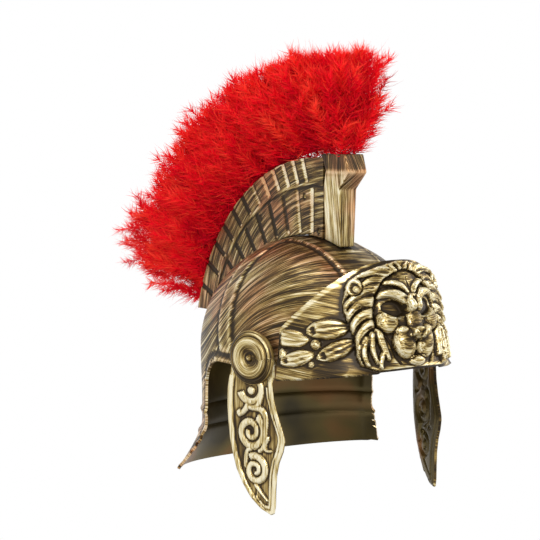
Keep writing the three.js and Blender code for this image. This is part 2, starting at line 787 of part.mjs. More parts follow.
function makeCrestHalf() {
  const seam = fitGap / 2;
  const upper = sideSolid(crestOutline(crestRadius, 0), seam, crestHalfWidth);
  const stepRing = sideSolid(crestOutline(crestStepRadius, 0), crestHalfWidth - crestStep, 50);
  const post = [
    ...crestFloor(0, postFront, postRear),
    [postRear, capFoot],
    [capRear, capEdge],
    [capRear + 16, capTop],
    [capFront + 5, capTop],
    [capFront, capEdge],
    [postFront, capFoot],
  ];
  let half = upper.subtract(stepRing).add(sideSolid(post, seam, postHalfWidth));
  const room = sideSolid(
    crestOutline(crestRadius + 30, crestWall + 0.6),
    -5,
    crestHalfWidth - crestStep - crestWall,
  );
  half = half.subtract(room);
  const cuts = [];
  const bands = [
    { slots: upperSlots, outer: crestRadius + 2, inner: crestStepRadius + 1.5, skin: crestHalfWidth },
    {
      slots: lowerSlots,
      outer: crestStepRadius - 1.5,
      inner: 0,
      skin: crestHalfWidth - crestStep,
    },
  ];
  for (const { slots, outer, inner, skin } of bands) {
    for (let i = 0; i < slots.count; i++) {
      const angle = radians(slots.first - slots.pitch * i - slots.growth * i * i);
      const y = crestCentre.y + outer * Math.cos(angle);
      const z = crestCentre.z + outer * Math.sin(angle);
      const aim = Math.atan2(z - slotFan.z, y - slotFan.y);
      const seat = crestSeat(y - 45 * Math.cos(aim));
      const length = inner
        ? (outer - inner) / Math.cos(aim - angle)
        : Math.max(6, Math.min(46, (z - seat) / Math.max(0.35, Math.sin(aim))));
      const box = new THREE.BoxGeometry(2 * slotDepth, length, slotWidth);
      box.translate(0, -length / 2, 0);
      box.applyMatrix4(
        new THREE.Matrix4()
          .makeBasis(
            new THREE.Vector3(1, 0, 0),
            new THREE.Vector3(0, Math.cos(aim), Math.sin(aim)),
            new THREE.Vector3(0, -Math.sin(aim), Math.cos(aim)),
          )
          .setPosition(skin, y, z),
      );
      cuts.push(solidOf(box));
    }
  }
  half = half.subtract(together(cuts));
  for (const pin of pins) half = half.subtract(pinSolid(pin, pinRadius + fitGap, 60));
  return half;
}

function pinSolid({ y, z }, radius, length) {
  const geometry = new THREE.CylinderGeometry(radius, radius, length, 12);
  geometry.rotateZ(Math.PI / 2).translate(0, y, z);
  return solidOf(geometry);
}

// The plume's section at a share of the crest's arc, read from the table between its rows.
function plumeSection(at) {
  const next = Math.max(1, plumeSections.findIndex((row) => row.at >= at));
  const low = plumeSections[next - 1];
  const high = plumeSections[next];
  const share = high.at > low.at ? (at - low.at) / (high.at - low.at) : 1;
  const mix = (key) => THREE.MathUtils.lerp(low[key], high[key], share);
  return { at, lean: mix("lean"), reach: mix("reach"), spread: mix("spread"), lift: mix("lift") };
}

// A point of the plume: its section, millimetres out from the crest's arc, and to the side.
function plumePoint({ at, lean, lift }, length, side) {
  const arc = THREE.MathUtils.lerp(plumeFrontAngle, plumeRearAngle, at);
  const root = radians(arc);
  const aim = radians(length > 0 ? arc - lean : arc);
  const start = crestRadius + (length < 0 ? 0 : lift);
  return new THREE.Vector3(
    side,
    crestCentre.y + start * Math.cos(root) + length * Math.cos(aim),
    crestCentre.z + start * Math.sin(root) + length * Math.sin(aim),
  );
}

function makePlume() {
  const rootHalf = crestHalfWidth - crestStep - crestWall - 0.8;
  const right = [];
  const left = [];
  const addRow = (lengthOf, halfOf) => {
    right.push(plumeSections.map((row) => plumePoint(row, lengthOf(row), -halfOf(row))));
    left.push(plumeSections.map((row) => plumePoint(row, lengthOf(row), halfOf(row))));
  };
  addRow(() => -plumeRoot, () => rootHalf);
  addRow(() => 0, () => rootHalf);
  for (const { along, thick } of plumeProfile) {
    addRow(
      ({ reach }) => along * reach * plumeReach,
      ({ spread }) => thick * spread * plumeHalfWidth,
    );
  }
  let plume = sheetSolid(right, left);
  const locks = [];
  for (let j = 0; j < lockColumns; j++) {
    for (const side of lockSides) {
      const section = plumeSection((j + 0.5 + side * 0.45) / lockColumns);
      const reach = section.reach * plumeReach;
      const half = side * section.spread * plumeHalfWidth;
      const tip = plumePoint(section, reach * (1 + lockOverhang * (1 - Math.abs(side))), 1.35 * half);
      const root = plumePoint(section, reach - Math.min(lockLength, reach / 2), half);
      const along = tip.clone().sub(root);
      const geometry = new THREE.ConeGeometry(lockRadius, along.length(), 5);
      geometry.translate(0, along.length() / 2, 0);
      const turn = new THREE.Quaternion().setFromUnitVectors(
        new THREE.Vector3(0, 1, 0),
        along.clone().normalize(),
      );
      geometry.applyQuaternion(turn).translate(root.x, root.y, root.z);
      locks.push(solidOf(geometry));
    }
  }
  return plume.add(together(locks));
}

// Materials, by their finish
const antiqueGold = new THREE.MeshStandardMaterial({
  color: 0xa8905a,
  roughness: 0.38,
  metalness: 0.85,
});
const darkGold = new THREE.MeshStandardMaterial({
  color: 0x6e5a34,
  roughness: 0.45,
  metalness: 0.8,
});
const redFeather = new THREE.MeshStandardMaterial({
  color: 0xd01018,
  roughness: 0.85,
  metalness: 0,
});

const helmet = new THREE.Group();
helmet.position.z = -(domeHeight - shellWall);

function addPiece(name, solid, material, matrix) {
  const mesh = new THREE.Mesh(geometryOf(solid), material);
  mesh.name = name;
  if (matrix) mesh.applyMatrix4(matrix);
  helmet.add(mesh);
}

addPiece("helmet_shell", makeShell(), antiqueGold);
addPiece("brow_plate", makeBrowPlate(), antiqueGold);
const crestHalf = makeCrestHalf();
const flip = new THREE.Matrix4().makeScale(-1, 1, 1);
addPiece("crest_half_left", crestHalf, antiqueGold);
addPiece("crest_half_right", crestHalf, antiqueGold, flip);
const pinHalf = crestHalfWidth - crestStep - pinRecess;
for (const pin of pins) addPiece(pin.name, pinSolid(pin, pinRadius, 2 * pinHalf), darkGold);
addPiece("crest_plume", makePlume(), redFeather);

const guard = makeCheekGuard();
const rosette = makeRosette();
const stud = makeStud();
for (const side of ["right", "left"]) {
  const frame = side === "right" ? pivotFrame : flip.clone().multiply(pivotFrame);
  const seatAt = (height) => frame.clone().multiply(new THREE.Matrix4().makeTranslation(0, 0, height));
  addPiece(`cheek_guard_${side}`, guard, antiqueGold, seatAt(cheekSeat));
  addPiece(`rosette_${side}`, rosette, antiqueGold, seatAt(rosetteSeat));
  addPiece(`pivot_stud_${side}`, stud, darkGold, frame);
}

export default helmet;
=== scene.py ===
import math
import bpy
import numpy as np
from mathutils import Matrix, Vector


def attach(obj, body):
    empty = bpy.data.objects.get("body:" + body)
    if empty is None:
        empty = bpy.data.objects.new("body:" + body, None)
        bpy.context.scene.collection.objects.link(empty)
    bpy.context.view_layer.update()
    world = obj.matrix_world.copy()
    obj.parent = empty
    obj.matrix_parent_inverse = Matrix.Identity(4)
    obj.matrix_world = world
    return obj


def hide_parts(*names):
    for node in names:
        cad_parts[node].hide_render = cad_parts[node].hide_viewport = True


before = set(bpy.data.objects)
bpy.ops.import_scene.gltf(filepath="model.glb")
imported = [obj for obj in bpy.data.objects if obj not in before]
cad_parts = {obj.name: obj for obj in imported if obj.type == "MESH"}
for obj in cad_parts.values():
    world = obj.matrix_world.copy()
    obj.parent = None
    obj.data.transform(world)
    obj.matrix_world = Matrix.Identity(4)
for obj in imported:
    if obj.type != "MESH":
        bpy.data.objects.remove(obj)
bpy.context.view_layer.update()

mm = 0.001
dome = {"halfWidth": 100.0, "halfLength": 120.0, "height": 104.0, "wall": 2.4}
seatDrop = dome["height"] - dome["wall"]                # the origin is inside the crown
dice = np.random.default_rng(7)
print("frame loaded")


# mesh helpers

def deselectAll():
    for other in bpy.context.selected_objects:
        other.select_set(False)


def takeHold(piece):
    deselectAll()
    piece.select_set(True)
    bpy.context.view_layer.objects.active = piece


def pointsOf(piece):
    points = np.empty(len(piece.data.vertices) * 3)
    piece.data.vertices.foreach_get("co", points)
    return points.reshape(-1, 3)


def putPoints(piece, points):
    piece.data.vertices.foreach_set("co", np.asarray(points, float).ravel())
    piece.data.update()


def mark(piece, name, values):
    kind = "FLOAT" if values.ndim == 1 else "FLOAT_VECTOR"
    layer = piece.data.attributes.new(name, kind, "POINT")
    key = "value" if values.ndim == 1 else "vector"
    layer.data.foreach_set(key, values.astype(float).ravel())


def toFrame(points):                                    # millimetres from the dome's centre
    return (np.asarray(points, float) - [0, 0, seatDrop]) * mm


def applyAll(piece):
    takeHold(piece)
    for modifier in list(piece.modifiers):
        bpy.ops.object.modifier_apply(modifier=modifier.name)


def smooth(piece, angle=40):
    takeHold(piece)
    bpy.ops.object.shade_smooth_by_angle(angle=math.radians(angle))


def outwards(piece):
    takeHold(piece)
    bpy.ops.object.mode_set(mode="EDIT")
    bpy.ops.mesh.select_all(action="SELECT")
    bpy.ops.mesh.remove_doubles(threshold=1e-6)
    bpy.ops.mesh.normals_make_consistent(inside=False)
    bpy.ops.object.mode_set(mode="OBJECT")


def faceSide(piece, side):
    # turns a sheet's faces to its own side of the helmet
    outward = sum((face.normal.x for face in piece.data.polygons), 0.0)
    if (outward > 0) != (side == "left"):
        takeHold(piece)
        bpy.ops.object.mode_set(mode="EDIT")
        bpy.ops.mesh.select_all(action="SELECT")
        bpy.ops.mesh.flip_normals()
        bpy.ops.object.mode_set(mode="OBJECT")


def sheetPiece(name, across, down):
    # a subdivided grid with its own u and v in 0..1, ready to be shaped
    deselectAll()
    bpy.ops.mesh.primitive_grid_add(x_subdivisions=across, y_subdivisions=down, size=1)
    piece = bpy.context.object
    piece.name = piece.data.name = name
    flat = pointsOf(piece)
    return piece, flat[:, 0] + 0.5, flat[:, 1] + 0.5


def cavity(height, u, v, reach=4):
    # how far each point of a relief lies below its surroundings
    order = np.lexsort((u, v))
    across = len(np.unique(np.round(u, 6)))
    field = height[order].reshape(-1, across)
    soft = field.copy()
    for _ in range(reach):
        padded = np.pad(soft, 1, mode="edge")
        soft = (padded[:-2, 1:-1] + padded[2:, 1:-1] + padded[1:-1, :-2] + padded[1:-1, 2:]
                + padded[1:-1, 1:-1]) / 5
    low = np.empty_like(height)
    low[order] = (soft - field).ravel()
    return low


def unit(vectors):
    return vectors / np.linalg.norm(vectors, axis=1, keepdims=True)


def smoothStep(values, low, high):
    t = np.clip((values - low) / (high - low), 0, 1)
    return t * t * (3 - 2 * t)


def bump(x, y, cx, cy, rx, ry, turn=0.0, power=0.5):
    c, s = math.cos(math.radians(turn)), math.sin(math.radians(turn))
    a = ((x - cx) * c + (y - cy) * s) / rx
    b = ((y - cy) * c - (x - cx) * s) / ry
    return np.clip(1 - a * a - b * b, 0, 1) ** power


def stroke(x, y, way, wide, taper=0.3, power=0.6):
    # a rounded strand along a bent line through three points, thinner at its end
    t = np.linspace(0, 1, 18)
    p0, p1, p2 = (np.array(point, float) for point in way)
    line = (np.outer((1 - t) ** 2, p0) + np.outer(2 * t * (1 - t), 2 * p1 - (p0 + p2) / 2)
            + np.outer(t ** 2, p2))
    best = np.zeros_like(x)
    low, high = line.min(0) - wide, line.max(0) + wide
    near = (x > low[0]) & (x < high[0]) & (y > low[1]) & (y < high[1])
    nx, ny = x[near], y[near]
    found = np.zeros_like(nx)
    for k in range(17):
        a, d = line[k], line[k + 1] - line[k]
        along = np.clip(((nx - a[0]) * d[0] + (ny - a[1]) * d[1]) / (d @ d), 0, 1)
        away = np.hypot(nx - a[0] - along * d[0], ny - a[1] - along * d[1])
        share = (k + along) / 17
        width = wide * (1 - (1 - taper) * share ** 1.5)
        found = np.maximum(found, np.clip(1 - (away / width) ** 2, 0, 1) ** power)
    best[near] = found
    return best


def spiral(x, y, cx, cy, reach, start, turns, hand, wide, grow=0.16):
    # a rounded band that winds in to a middle
    dx, dy = x - cx, y - cy
    away = np.hypot(dx, dy)
    turn = (np.arctan2(dy, dx) - math.radians(start)) * hand / (2 * math.pi)
    turn -= np.floor(turn)
    best = np.zeros_like(x)
    for lap in range(int(math.ceil(turns)) + 1):
        share = (turn + lap) / turns
        middle = reach * (1 - (1 - grow) * share)
        inside = np.where(share <= 1, 1.0, 0.0)
        width = wide * (1 - 0.35 * np.clip(share, 0, 1))
        best = np.maximum(best, inside * np.clip(1 - ((away - middle) / width) ** 2, 0, 1) ** 0.6)
    return best


# material helpers

class Wire:                                             # a socket that takes part in sums
    def __init__(self, finish, socket):
        self.finish, self.socket = finish, socket

    def sum(self, operation, first, second=None):
        values = {0: first} if second is None else {0: first, 1: second}
        return self.finish.node("ShaderNodeMath", {"operation": operation}, values)

    def __add__(self, other): return self.sum("ADD", self, other)
    def __radd__(self, other): return self.sum("ADD", other, self)
    def __sub__(self, other): return self.sum("SUBTRACT", self, other)
    def __rsub__(self, other): return self.sum("SUBTRACT", other, self)
    def __mul__(self, other): return self.sum("MULTIPLY", self, other)

    def clamped(self):
        return self.finish.node("ShaderNodeClamp", {}, {0: self})


class Finish:
    def __init__(self, name, base, roughness, metallic):
        self.material = bpy.data.materials.new(name)
        self.material.use_nodes = True
        self.tree = self.material.node_tree
        self.shader = self.tree.nodes["Principled BSDF"]
        self.shader.inputs["Base Color"].default_value = (*base, 1)
        self.shader.inputs["Roughness"].default_value = roughness
        self.shader.inputs["Metallic"].default_value = metallic

    def node(self, kind, settings, values, out=0):
        made = self.tree.nodes.new(kind)
        for key, value in settings.items():
            if key == "stops":
                ramp = made.color_ramp
                while len(ramp.elements) < len(value):
                    ramp.elements.new(0.5)
                for element, (place, colour) in zip(ramp.elements, value):
                    element.position, element.color = place, (*colour, 1)
            else:
                setattr(made, key, value)
        for key, value in values.items():
            if isinstance(value, Wire):
                self.tree.links.new(value.socket, made.inputs[key])
            else:
                made.inputs[key].default_value = value
        return Wire(self, made.outputs[out])

    def to(self, name, wire):
        self.tree.links.new(wire.socket, self.shader.inputs[name])

    def attribute(self, name, out="Fac"):
        return self.node("ShaderNodeAttribute", {"attribute_name": name}, {}, out)

    def objectPlace(self, scale, turn=(0, 0, 0)):
        place = self.node("ShaderNodeTexCoord", {}, {}, "Object")
        return self.node("ShaderNodeMapping", {}, {"Vector": place, "Scale": scale, "Rotation": turn})

    def noise(self, place, scale, detail=3.0, rough=0.5):
        return self.node("ShaderNodeTexNoise", {}, {"Vector": place, "Scale": scale, "Detail": detail,
                                                   "Roughness": rough})

    def mix(self, share, first, second):
        return self.node("ShaderNodeMix", {"data_type": "RGBA"}, {0: share, 6: first, 7: second}, 2)

    def bumped(self, height, strength, distance):
        self.to("Normal", self.node("ShaderNodeBump", {}, {"Height": height, "Strength": strength,
                                                         "Distance": distance}))


goldTones = {
    "wash": (0.030, 0.018, 0.006),
    "brown": (0.125, 0.074, 0.017),
    "gold": (0.370, 0.250, 0.072),
    "pale": (0.640, 0.510, 0.215),
    "cream": (0.880, 0.800, 0.570),
    "copper": (0.330, 0.130, 0.045),
}


def antiqueGold(name, flowed, darker=0.0, copper=0.0, streaks=1.0):
    # gilt plastic with a dark wash in the hollows and brush strokes over the raised parts; the per-point tone it
    # reads also paints shade in the hollows and highlights on the raised parts
    finish = Finish(name, goldTones["gold"], 0.36, 0.72)
    if flowed:                                          # strokes follow the surface
        place = finish.attribute("flow", "Vector")
        fine = finish.noise(finish.node("ShaderNodeMapping", {}, {"Vector": place, "Scale": (0.035, 1.7, 1)}),
                            1.0, 4.0, 0.62)
        broad = finish.noise(finish.node("ShaderNodeMapping", {}, {"Vector": place, "Scale": (0.02, 0.3, 1)}),
                             1.0, 2.0)
    else:
        fine = finish.noise(finish.objectPlace((900, 140, 420), (0.5, 0, 0)), 1.0, 4.0, 0.62)
        broad = finish.noise(finish.objectPlace((60, 18, 50), (0.5, 0, 0)), 1.0, 2.0)
    patch = finish.noise(finish.objectPlace((1, 1, 1)), 26.0, 2.0)
    # per-point tone: positive darkens (dark wash and painted shade), negative lightens (painted highlight)
    low = finish.attribute("wash")
    tone = (0.5 + (fine - 0.5) * (1.25 * streaks) + (broad - 0.5) * 0.9 * streaks + (patch - 0.5) * 0.5
            - low - darker).clamped()
    colour = finish.node("ShaderNodeValToRGB", {"stops": [
        (0.14, goldTones["wash"]), (0.34, goldTones["brown"]), (0.50, goldTones["gold"]),
        (0.64, goldTones["pale"]), (0.80, goldTones["cream"])]}, {0: tone})
    if copper:
        where = ((patch - 0.42) * 5.0).clamped() * copper
        warm = finish.node("ShaderNodeValToRGB", {"stops": [
            (0.14, goldTones["wash"]), (0.40, (0.14, 0.06, 0.022)), (0.58, goldTones["copper"]),
            (0.80, (0.66, 0.36, 0.16))]}, {0: tone})
        colour = finish.mix(where, colour, warm)
    finish.to("Base Color", colour)
    finish.to("Roughness", (0.56 - tone * 0.3 + (fine - 0.5) * 0.12).clamped())
    finish.bumped(fine + broad * 0.5, 0.3, 0.0006)
    finish.shader.inputs["Coat Weight"].default_value = 0.12
    finish.shader.inputs["Coat Roughness"].default_value = 0.25
    return finish.material


def innerBrown():
    # the unpainted inner face: smooth dark olive brown with a reddish sheen
    finish = Finish("innerBrown", (0.06, 0.042, 0.012), 0.3, 0.55)
    patch = finish.noise(finish.objectPlace((1, 1, 1)), 16.0, 1.5)
    colour = finish.node("ShaderNodeValToRGB", {"stops": [
        (0.35, (0.035, 0.026, 0.007)), (0.52, (0.11, 0.078, 0.02)), (0.68, (0.24, 0.1, 0.03))]}, {0: patch})
    finish.to("Base Color", colour)
    finish.to("Roughness", 0.26 + patch * 0.18)
    finish.bumped(finish.noise(finish.objectPlace((1, 1, 1)), 60.0, 2.0), 0.06, 0.001)
    return finish.material


plateGold = antiqueGold("plateGold", True, darker=0.13, streaks=1.35)
cheekGold = antiqueGold("cheekGold", True, darker=0.0, streaks=1.1)
domeGold = antiqueGold("domeGold", True, darker=0.12, copper=0.8, streaks=1.8)
crestGold = antiqueGold("crestGold", True, darker=0.16, copper=0.95, streaks=1.7)
studGold = antiqueGold("studGold", False, darker=0.18)
insideBrown = innerBrown()


def makeWalled(piece, wall, outerFinish, angle):
    # gives a sheet its wall, inwards, with the unpainted finish on the inside
    piece.data.materials.append(outerFinish)
    piece.data.materials.append(insideBrown)
    solid = piece.modifiers.new("wall", "SOLIDIFY")
    solid.thickness, solid.offset = wall * mm, -1
    solid.material_offset, solid.material_offset_rim = 1, 0
    applyAll(piece)
    smooth(piece, angle)


print("finishes made")


# dome and neck guard

shellLook = {"across": 230, "down": 146, "bandRise": 1.0, "ribWidth": 1.7, "ribRise": 0.9, "rimWidth": 4.5,
             "rimRise": 1.4, "neckHalfWidth": 102.0, "neckHalfLength": 112.0, "neckDepth": 44.0,
             "flareDepth": 105.0, "flareHalfWidth": 132.0, "flareHalfLength": 113.0, "droop": 12.0,
             "domeShare": 0.55, "ridgeRise": 1.6, "ridgeWidth": 2.2, "strapHalf": 24, "crossWidth": 18,
             "strapCorner": 12, "rimRear": -28}
openingEdge = [(-160, 12), (-73, 12), (-55, -5), (-27, -5), (10, -5), (16.7, -5.9), (23, -8.5), (28.4, -12.6),
               (32.5, -18), (35.1, -24.3), (36, -31), (36, -44), (37, -76.7), (43, -91.4), (51, -105),
               (63, -147), (-160, -147)]


def shellProfile(down):
    # half width, half length and height of the plan ellipse, from the crown (0) to the hem (1)
    look = shellLook
    angle = np.clip(down / look["domeShare"], 0, 1) * math.pi / 2
    below = np.clip((down - look["domeShare"]) / 0.45, 0, 1) * look["flareDepth"]
    toNeck = smoothStep(below, 0, look["neckDepth"])
    flareStart = 1.5 * look["neckDepth"]
    toFlare = np.clip((below - flareStart) / (look["flareDepth"] - flareStart), 0, 1) ** 1.5
    width = dome["halfWidth"] + (look["neckHalfWidth"] - dome["halfWidth"]) * toNeck
    length = dome["halfLength"] + (look["neckHalfLength"] - dome["halfLength"]) * toNeck
    width = width + (look["flareHalfWidth"] - width) * toFlare
    length = length + (look["flareHalfLength"] - length) * toFlare
    ridge = look["ridgeRise"] * (np.exp(-((below - 1.26 * look["neckDepth"]) / look["ridgeWidth"]) ** 2)
                                 + np.exp(-((below - 1.7 * look["neckDepth"]) / look["ridgeWidth"]) ** 2))
    height = dome["height"] * np.cos(angle) - below
    return width * np.sin(angle) + ridge, length * np.sin(angle) + ridge, height


def edgeDistance(y, z):
    # signed distance to the side-view edge of the opening, positive on the helmet's side
    best = np.full_like(y, 1e9)
    inside = np.zeros(y.shape, bool)
    corners = openingEdge
    for (ay, az), (by, bz) in zip(corners, corners[1:] + corners[:1]):
        dy, dz = by - ay, bz - az
        t = np.clip(((y - ay) * dy + (z - az) * dz) / (dy * dy + dz * dz), 0, 1)
        best = np.minimum(best, np.hypot(y - ay - t * dy, z - az - t * dz))
        if az != bz:
            crosses = ((az > z) != (bz > z)) & (y < dy * (z - az) / dz + ay)
            inside ^= crosses
    return np.where(inside, -best, best)


def nearestOnEdge(y, z):
    best, place = 1e9, (y, z)
    for (ay, az), (by, bz) in zip(openingEdge, openingEdge[1:]):
        dy, dz = by - ay, bz - az
        t = min(1, max(0, ((y - ay) * dy + (z - az) * dz) / (dy * dy + dz * dz)))
        away = math.hypot(y - ay - t * dy, z - az - t * dz)
        if away < best:
            best, place = away, (ay + t * dy, az + t * dz)
    return place


def crossBand(z):
    share = np.clip(z, 0, dome["height"]) / dome["height"]
    return 20 - 33 * (1 - share) ** 1.15 - 9 * share ** 8


def domeRelief(x, y, z):
    # the strap over the crown, the cross strap and the beads along their edges
    look = shellLook
    front = crossBand(z)
    toSide = np.abs(x) - look["strapHalf"]
    toCross = np.maximum(front - y, y - front - look["crossWidth"])
    corner = look["strapCorner"]
    away = np.where((toSide < corner) & (toCross < corner) & (toSide > 0) & (toCross > 0),
                    corner - np.hypot(corner - toSide, corner - toCross), np.minimum(toSide, toCross))
    away = np.where(z > 0, away, 30)
    high = look["bandRise"] * smoothStep(-away, -1.2, 1.2)
    bead = look["ribRise"] * np.exp(-(away / look["ribWidth"]) ** 2)
    groove = 0.5 * np.exp(-((away - 3.4) / 1.4) ** 2)
    fade = smoothStep(z, -2, 8)
    return (high + bead - groove) * fade, away


def makeShell():
    look = shellLook
    piece, u, v = sheetPiece("helmetShell", look["across"], look["down"])
    down = 1 - v
    width, length, height = shellProfile(down)
    turn = (u - 0.5) * 2 * math.pi                      # u = 0.5 is the middle of the back
    sink = look["droop"] * np.maximum(0, np.cos(turn)) ** 2 * np.clip(-height / look["flareDepth"], 0, 1)
    x, y, z = width * np.sin(turn), length * np.cos(turn), height - sink
    raised, away = domeRelief(x, y, z)
    edge = edgeDistance(y, z)
    bead = look["rimRise"] * smoothStep(-edge, -look["rimWidth"], -look["rimWidth"] + 1.5)
    bead = bead * (y > look["rimRear"])
    crease = 0.9 * np.exp(-((edge - look["rimWidth"] - 3.2) / 1.6) ** 2)
    crease = crease * (y > look["rimRear"]) * (y < 60)
    lift = raised * smoothStep(edge, 4, 7) + bead - crease
    out = np.stack([x / dome["halfWidth"] ** 2, y / dome["halfLength"] ** 2,
                    np.clip(z, 0, 200) / dome["height"] ** 2], 1)
    out /= np.maximum(np.linalg.norm(out, axis=1, keepdims=True), 1e-9)
    points = np.stack([x, y, z], 1) + out * lift[:, None]
    # darker in the hollows and lighter on the raised straps, beads and rim bead: a dark wash and painted shade in
    # the hollows, painted highlight on the raised parts; and a painted shadow on the crown along the crest's foot
    wash = cavity(lift, u, v, 5) * 1.2 + 0.4 * smoothStep(-np.abs(x), -15, -11) * (z > 20) * (y > -52)
    # painted highlight along the straps' edge beads
    wash -= 0.3 * np.exp(-((away - 0.2) / 0.9) ** 2) * (z > 2)
    # darker within the last millimetre and a half of the opening's cut edge
    wash += 0.25 * smoothStep(-edge, -1.5, -0.3)
    strokes = np.stack([x - 0.3 * y, 36 * np.tanh(y / 45) + 0.6 * z + 0.04 * x, np.zeros_like(x)], 1)
    putPoints(piece, toFrame(points))
    mark(piece, "wash", np.clip(wash, -0.25, 0.5))
    mark(piece, "flow", strokes)
    takeHold(piece)
    bpy.ops.object.mode_set(mode="EDIT")
    bpy.ops.mesh.select_all(action="DESELECT")
    bpy.ops.object.mode_set(mode="OBJECT")
    for vertex, gone in zip(piece.data.vertices, edge < 0):
        vertex.select = bool(gone)
    bpy.ops.object.mode_set(mode="EDIT")
    bpy.ops.mesh.select_mode(type="VERT")
    bpy.ops.mesh.delete(type="VERT")
    bpy.ops.mesh.select_all(action="SELECT")
    bpy.ops.mesh.remove_doubles(threshold=2e-5)
    bpy.ops.mesh.select_all(action="DESELECT")
    bpy.ops.mesh.select_non_manifold()
    bpy.ops.object.mode_set(mode="OBJECT")
    steps = np.linspace(0, 1, 800)
    widths, lengths, heights = shellProfile(steps)
    for vertex in piece.data.vertices:                  # draw the cut onto the opening's line
        if vertex.select:
            y, z = vertex.co.y / mm, vertex.co.z / mm + seatDrop
            if abs(edgeDistance(np.array([y]), np.array([z]))[0]) < 3.4:
                y, z = nearestOnEdge(y, z)
                level = z
                for _ in range(4):
                    length = np.interp(-level, -heights, lengths)
                    sag = look["droop"] * max(0, y / length) ** 2 / look["flareDepth"]
                    level = z / (1 + sag) if z < 0 else z
                width = np.interp(-level, -heights, widths)
                x = width * math.sqrt(max(0, 1 - (y / length) ** 2))
                x += look["rimRise"] if y > look["rimRear"] else 0
                vertex.co = (math.copysign(x, vertex.co.x) * mm, y * mm, (z - seatDrop) * mm)
    outwards(piece)
    makeWalled(piece, dome["wall"], domeGold, 50)
    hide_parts("helmet_shell")
    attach(piece, "helmet")


makeShell()
print("shell made")


# brow plate with the lion and the laurel

browLook = {"across": 256, "down": 120, "wall": 2.4, "endAngle": 61.5, "endTop": 31.0, "top": 91.0,
            "bottom": -1.0, "endBottom": -12.0, "lip": 1.5, "lionRise": 1.25}


def browEdges(angle):
    look = browLook
    share = np.abs(angle) / look["endAngle"]
    bottom = look["bottom"] + (look["endBottom"] - look["bottom"]) * share ** 1.6
    arch = np.cos(np.clip(share, 0, 1) ** 1.25 * math.pi / 2) ** 0.9
    return bottom, look["endTop"] + (look["top"] - look["endTop"]) * arch


def browSurface(angle, height, out):
    share = (height + 1) / 92
    bottom, _ = browEdges(angle)
    lip = browLook["lip"] * np.clip(1 - (height - bottom) / 6, 0, 1) ** 2
    width, length = 104.5 - 20.5 * share, 145 - 27 * share
    turn = np.radians(angle)
    px, py = width * np.sin(turn), -length * np.cos(turn)
    normal = np.stack([px / width ** 2, py / length ** 2, np.full_like(px, 0.0022)], 1)
    base = np.stack([px, py, height], 1)
    return base + unit(normal) * (out + lip)[:, None]


angleSteps = np.linspace(-70, 70, 561)
arcSteps = np.cumsum(np.hypot(98 * np.cos(np.radians(angleSteps)), 136 * np.sin(np.radians(angleSteps))))
arcSteps = (arcSteps - arcSteps[280]) * math.radians(0.25)

maneEdge = {"height": [-3, 0.5, 3, 10, 20, 30, 38, 47, 55, 62, 68, 74, 80, 85, 90],
            "reach": [30, 41, 47, 50.5, 51, 53, 56, 59, 60, 58, 57.5, 53, 42, 27, 4]}
faceOutline = {"height": [-2, 3, 9, 20, 28, 34, 45, 55, 65, 74, 79, 82],
               "reach": [8, 14, 18, 21, 25, 33, 34, 32, 28, 21, 11, 2]}
maneLocks = [  # way of the lock, half width, rise
    ([(12, 80), (31, 81), (53, 74)], 5.2, 3.0),
    ([(21, 73), (33, 73), (44, 66)], 4.6, 2.9),
    ([(27, 66), (42, 63), (57, 51)], 5.8, 3.8),
    ([(34, 56), (46, 53), (56, 41)], 5.6, 3.7),
    ([(35, 46), (46, 42), (53, 30)], 5.2, 3.6),
    ([(35, 37), (43, 32), (50, 19)], 5.0, 3.4),
    ([(55, 63), (60.5, 57), (58, 47)], 3.2, 3.0),
    ([(57, 47), (58.5, 41), (53, 33)], 3.0, 2.8),
    ([(31, 31), (29, 21), (25, 8)], 4.2, 4.6),
    ([(36, 28), (37, 17), (34, 5)], 3.6, 4.0),
    ([(41, 24), (44, 14), (41, 3)], 4.0, 3.8),
    ([(47, 19), (49, 11), (46, 3)], 3.4, 3.2),
    ([(27, 14), (31, 7), (31, 1)], 3.2, 3.4),
    ([(1.5, 77), (3, 83), (7, 88)], 2.3, 3.2),
    ([(6, 77), (10, 83), (15, 87)], 2.5, 3.3),
    ([(11, 77), (17, 82), (25, 84)], 2.6, 3.2),
    ([(16, 77), (25, 79), (36, 80)], 2.4, 3.0),
]
fineHairs = [([(30, 64), (44, 60), (57, 49)], 0.9), ([(31, 67), (45, 64), (58, 54)], 0.8),
             ([(36, 54), (47, 50), (56, 39)], 0.8), ([(37, 44), (46, 40), (52, 29)], 0.8),
             ([(36, 35), (44, 29), (49, 18)], 0.8), ([(15, 82), (33, 83), (52, 76)], 0.8),
             ([(16, 79), (33, 79), (50, 72)], 0.7), ([(31, 28), (28, 18), (24, 7)], 0.8),
             ([(42, 23), (46, 13), (43, 3)], 0.8)]


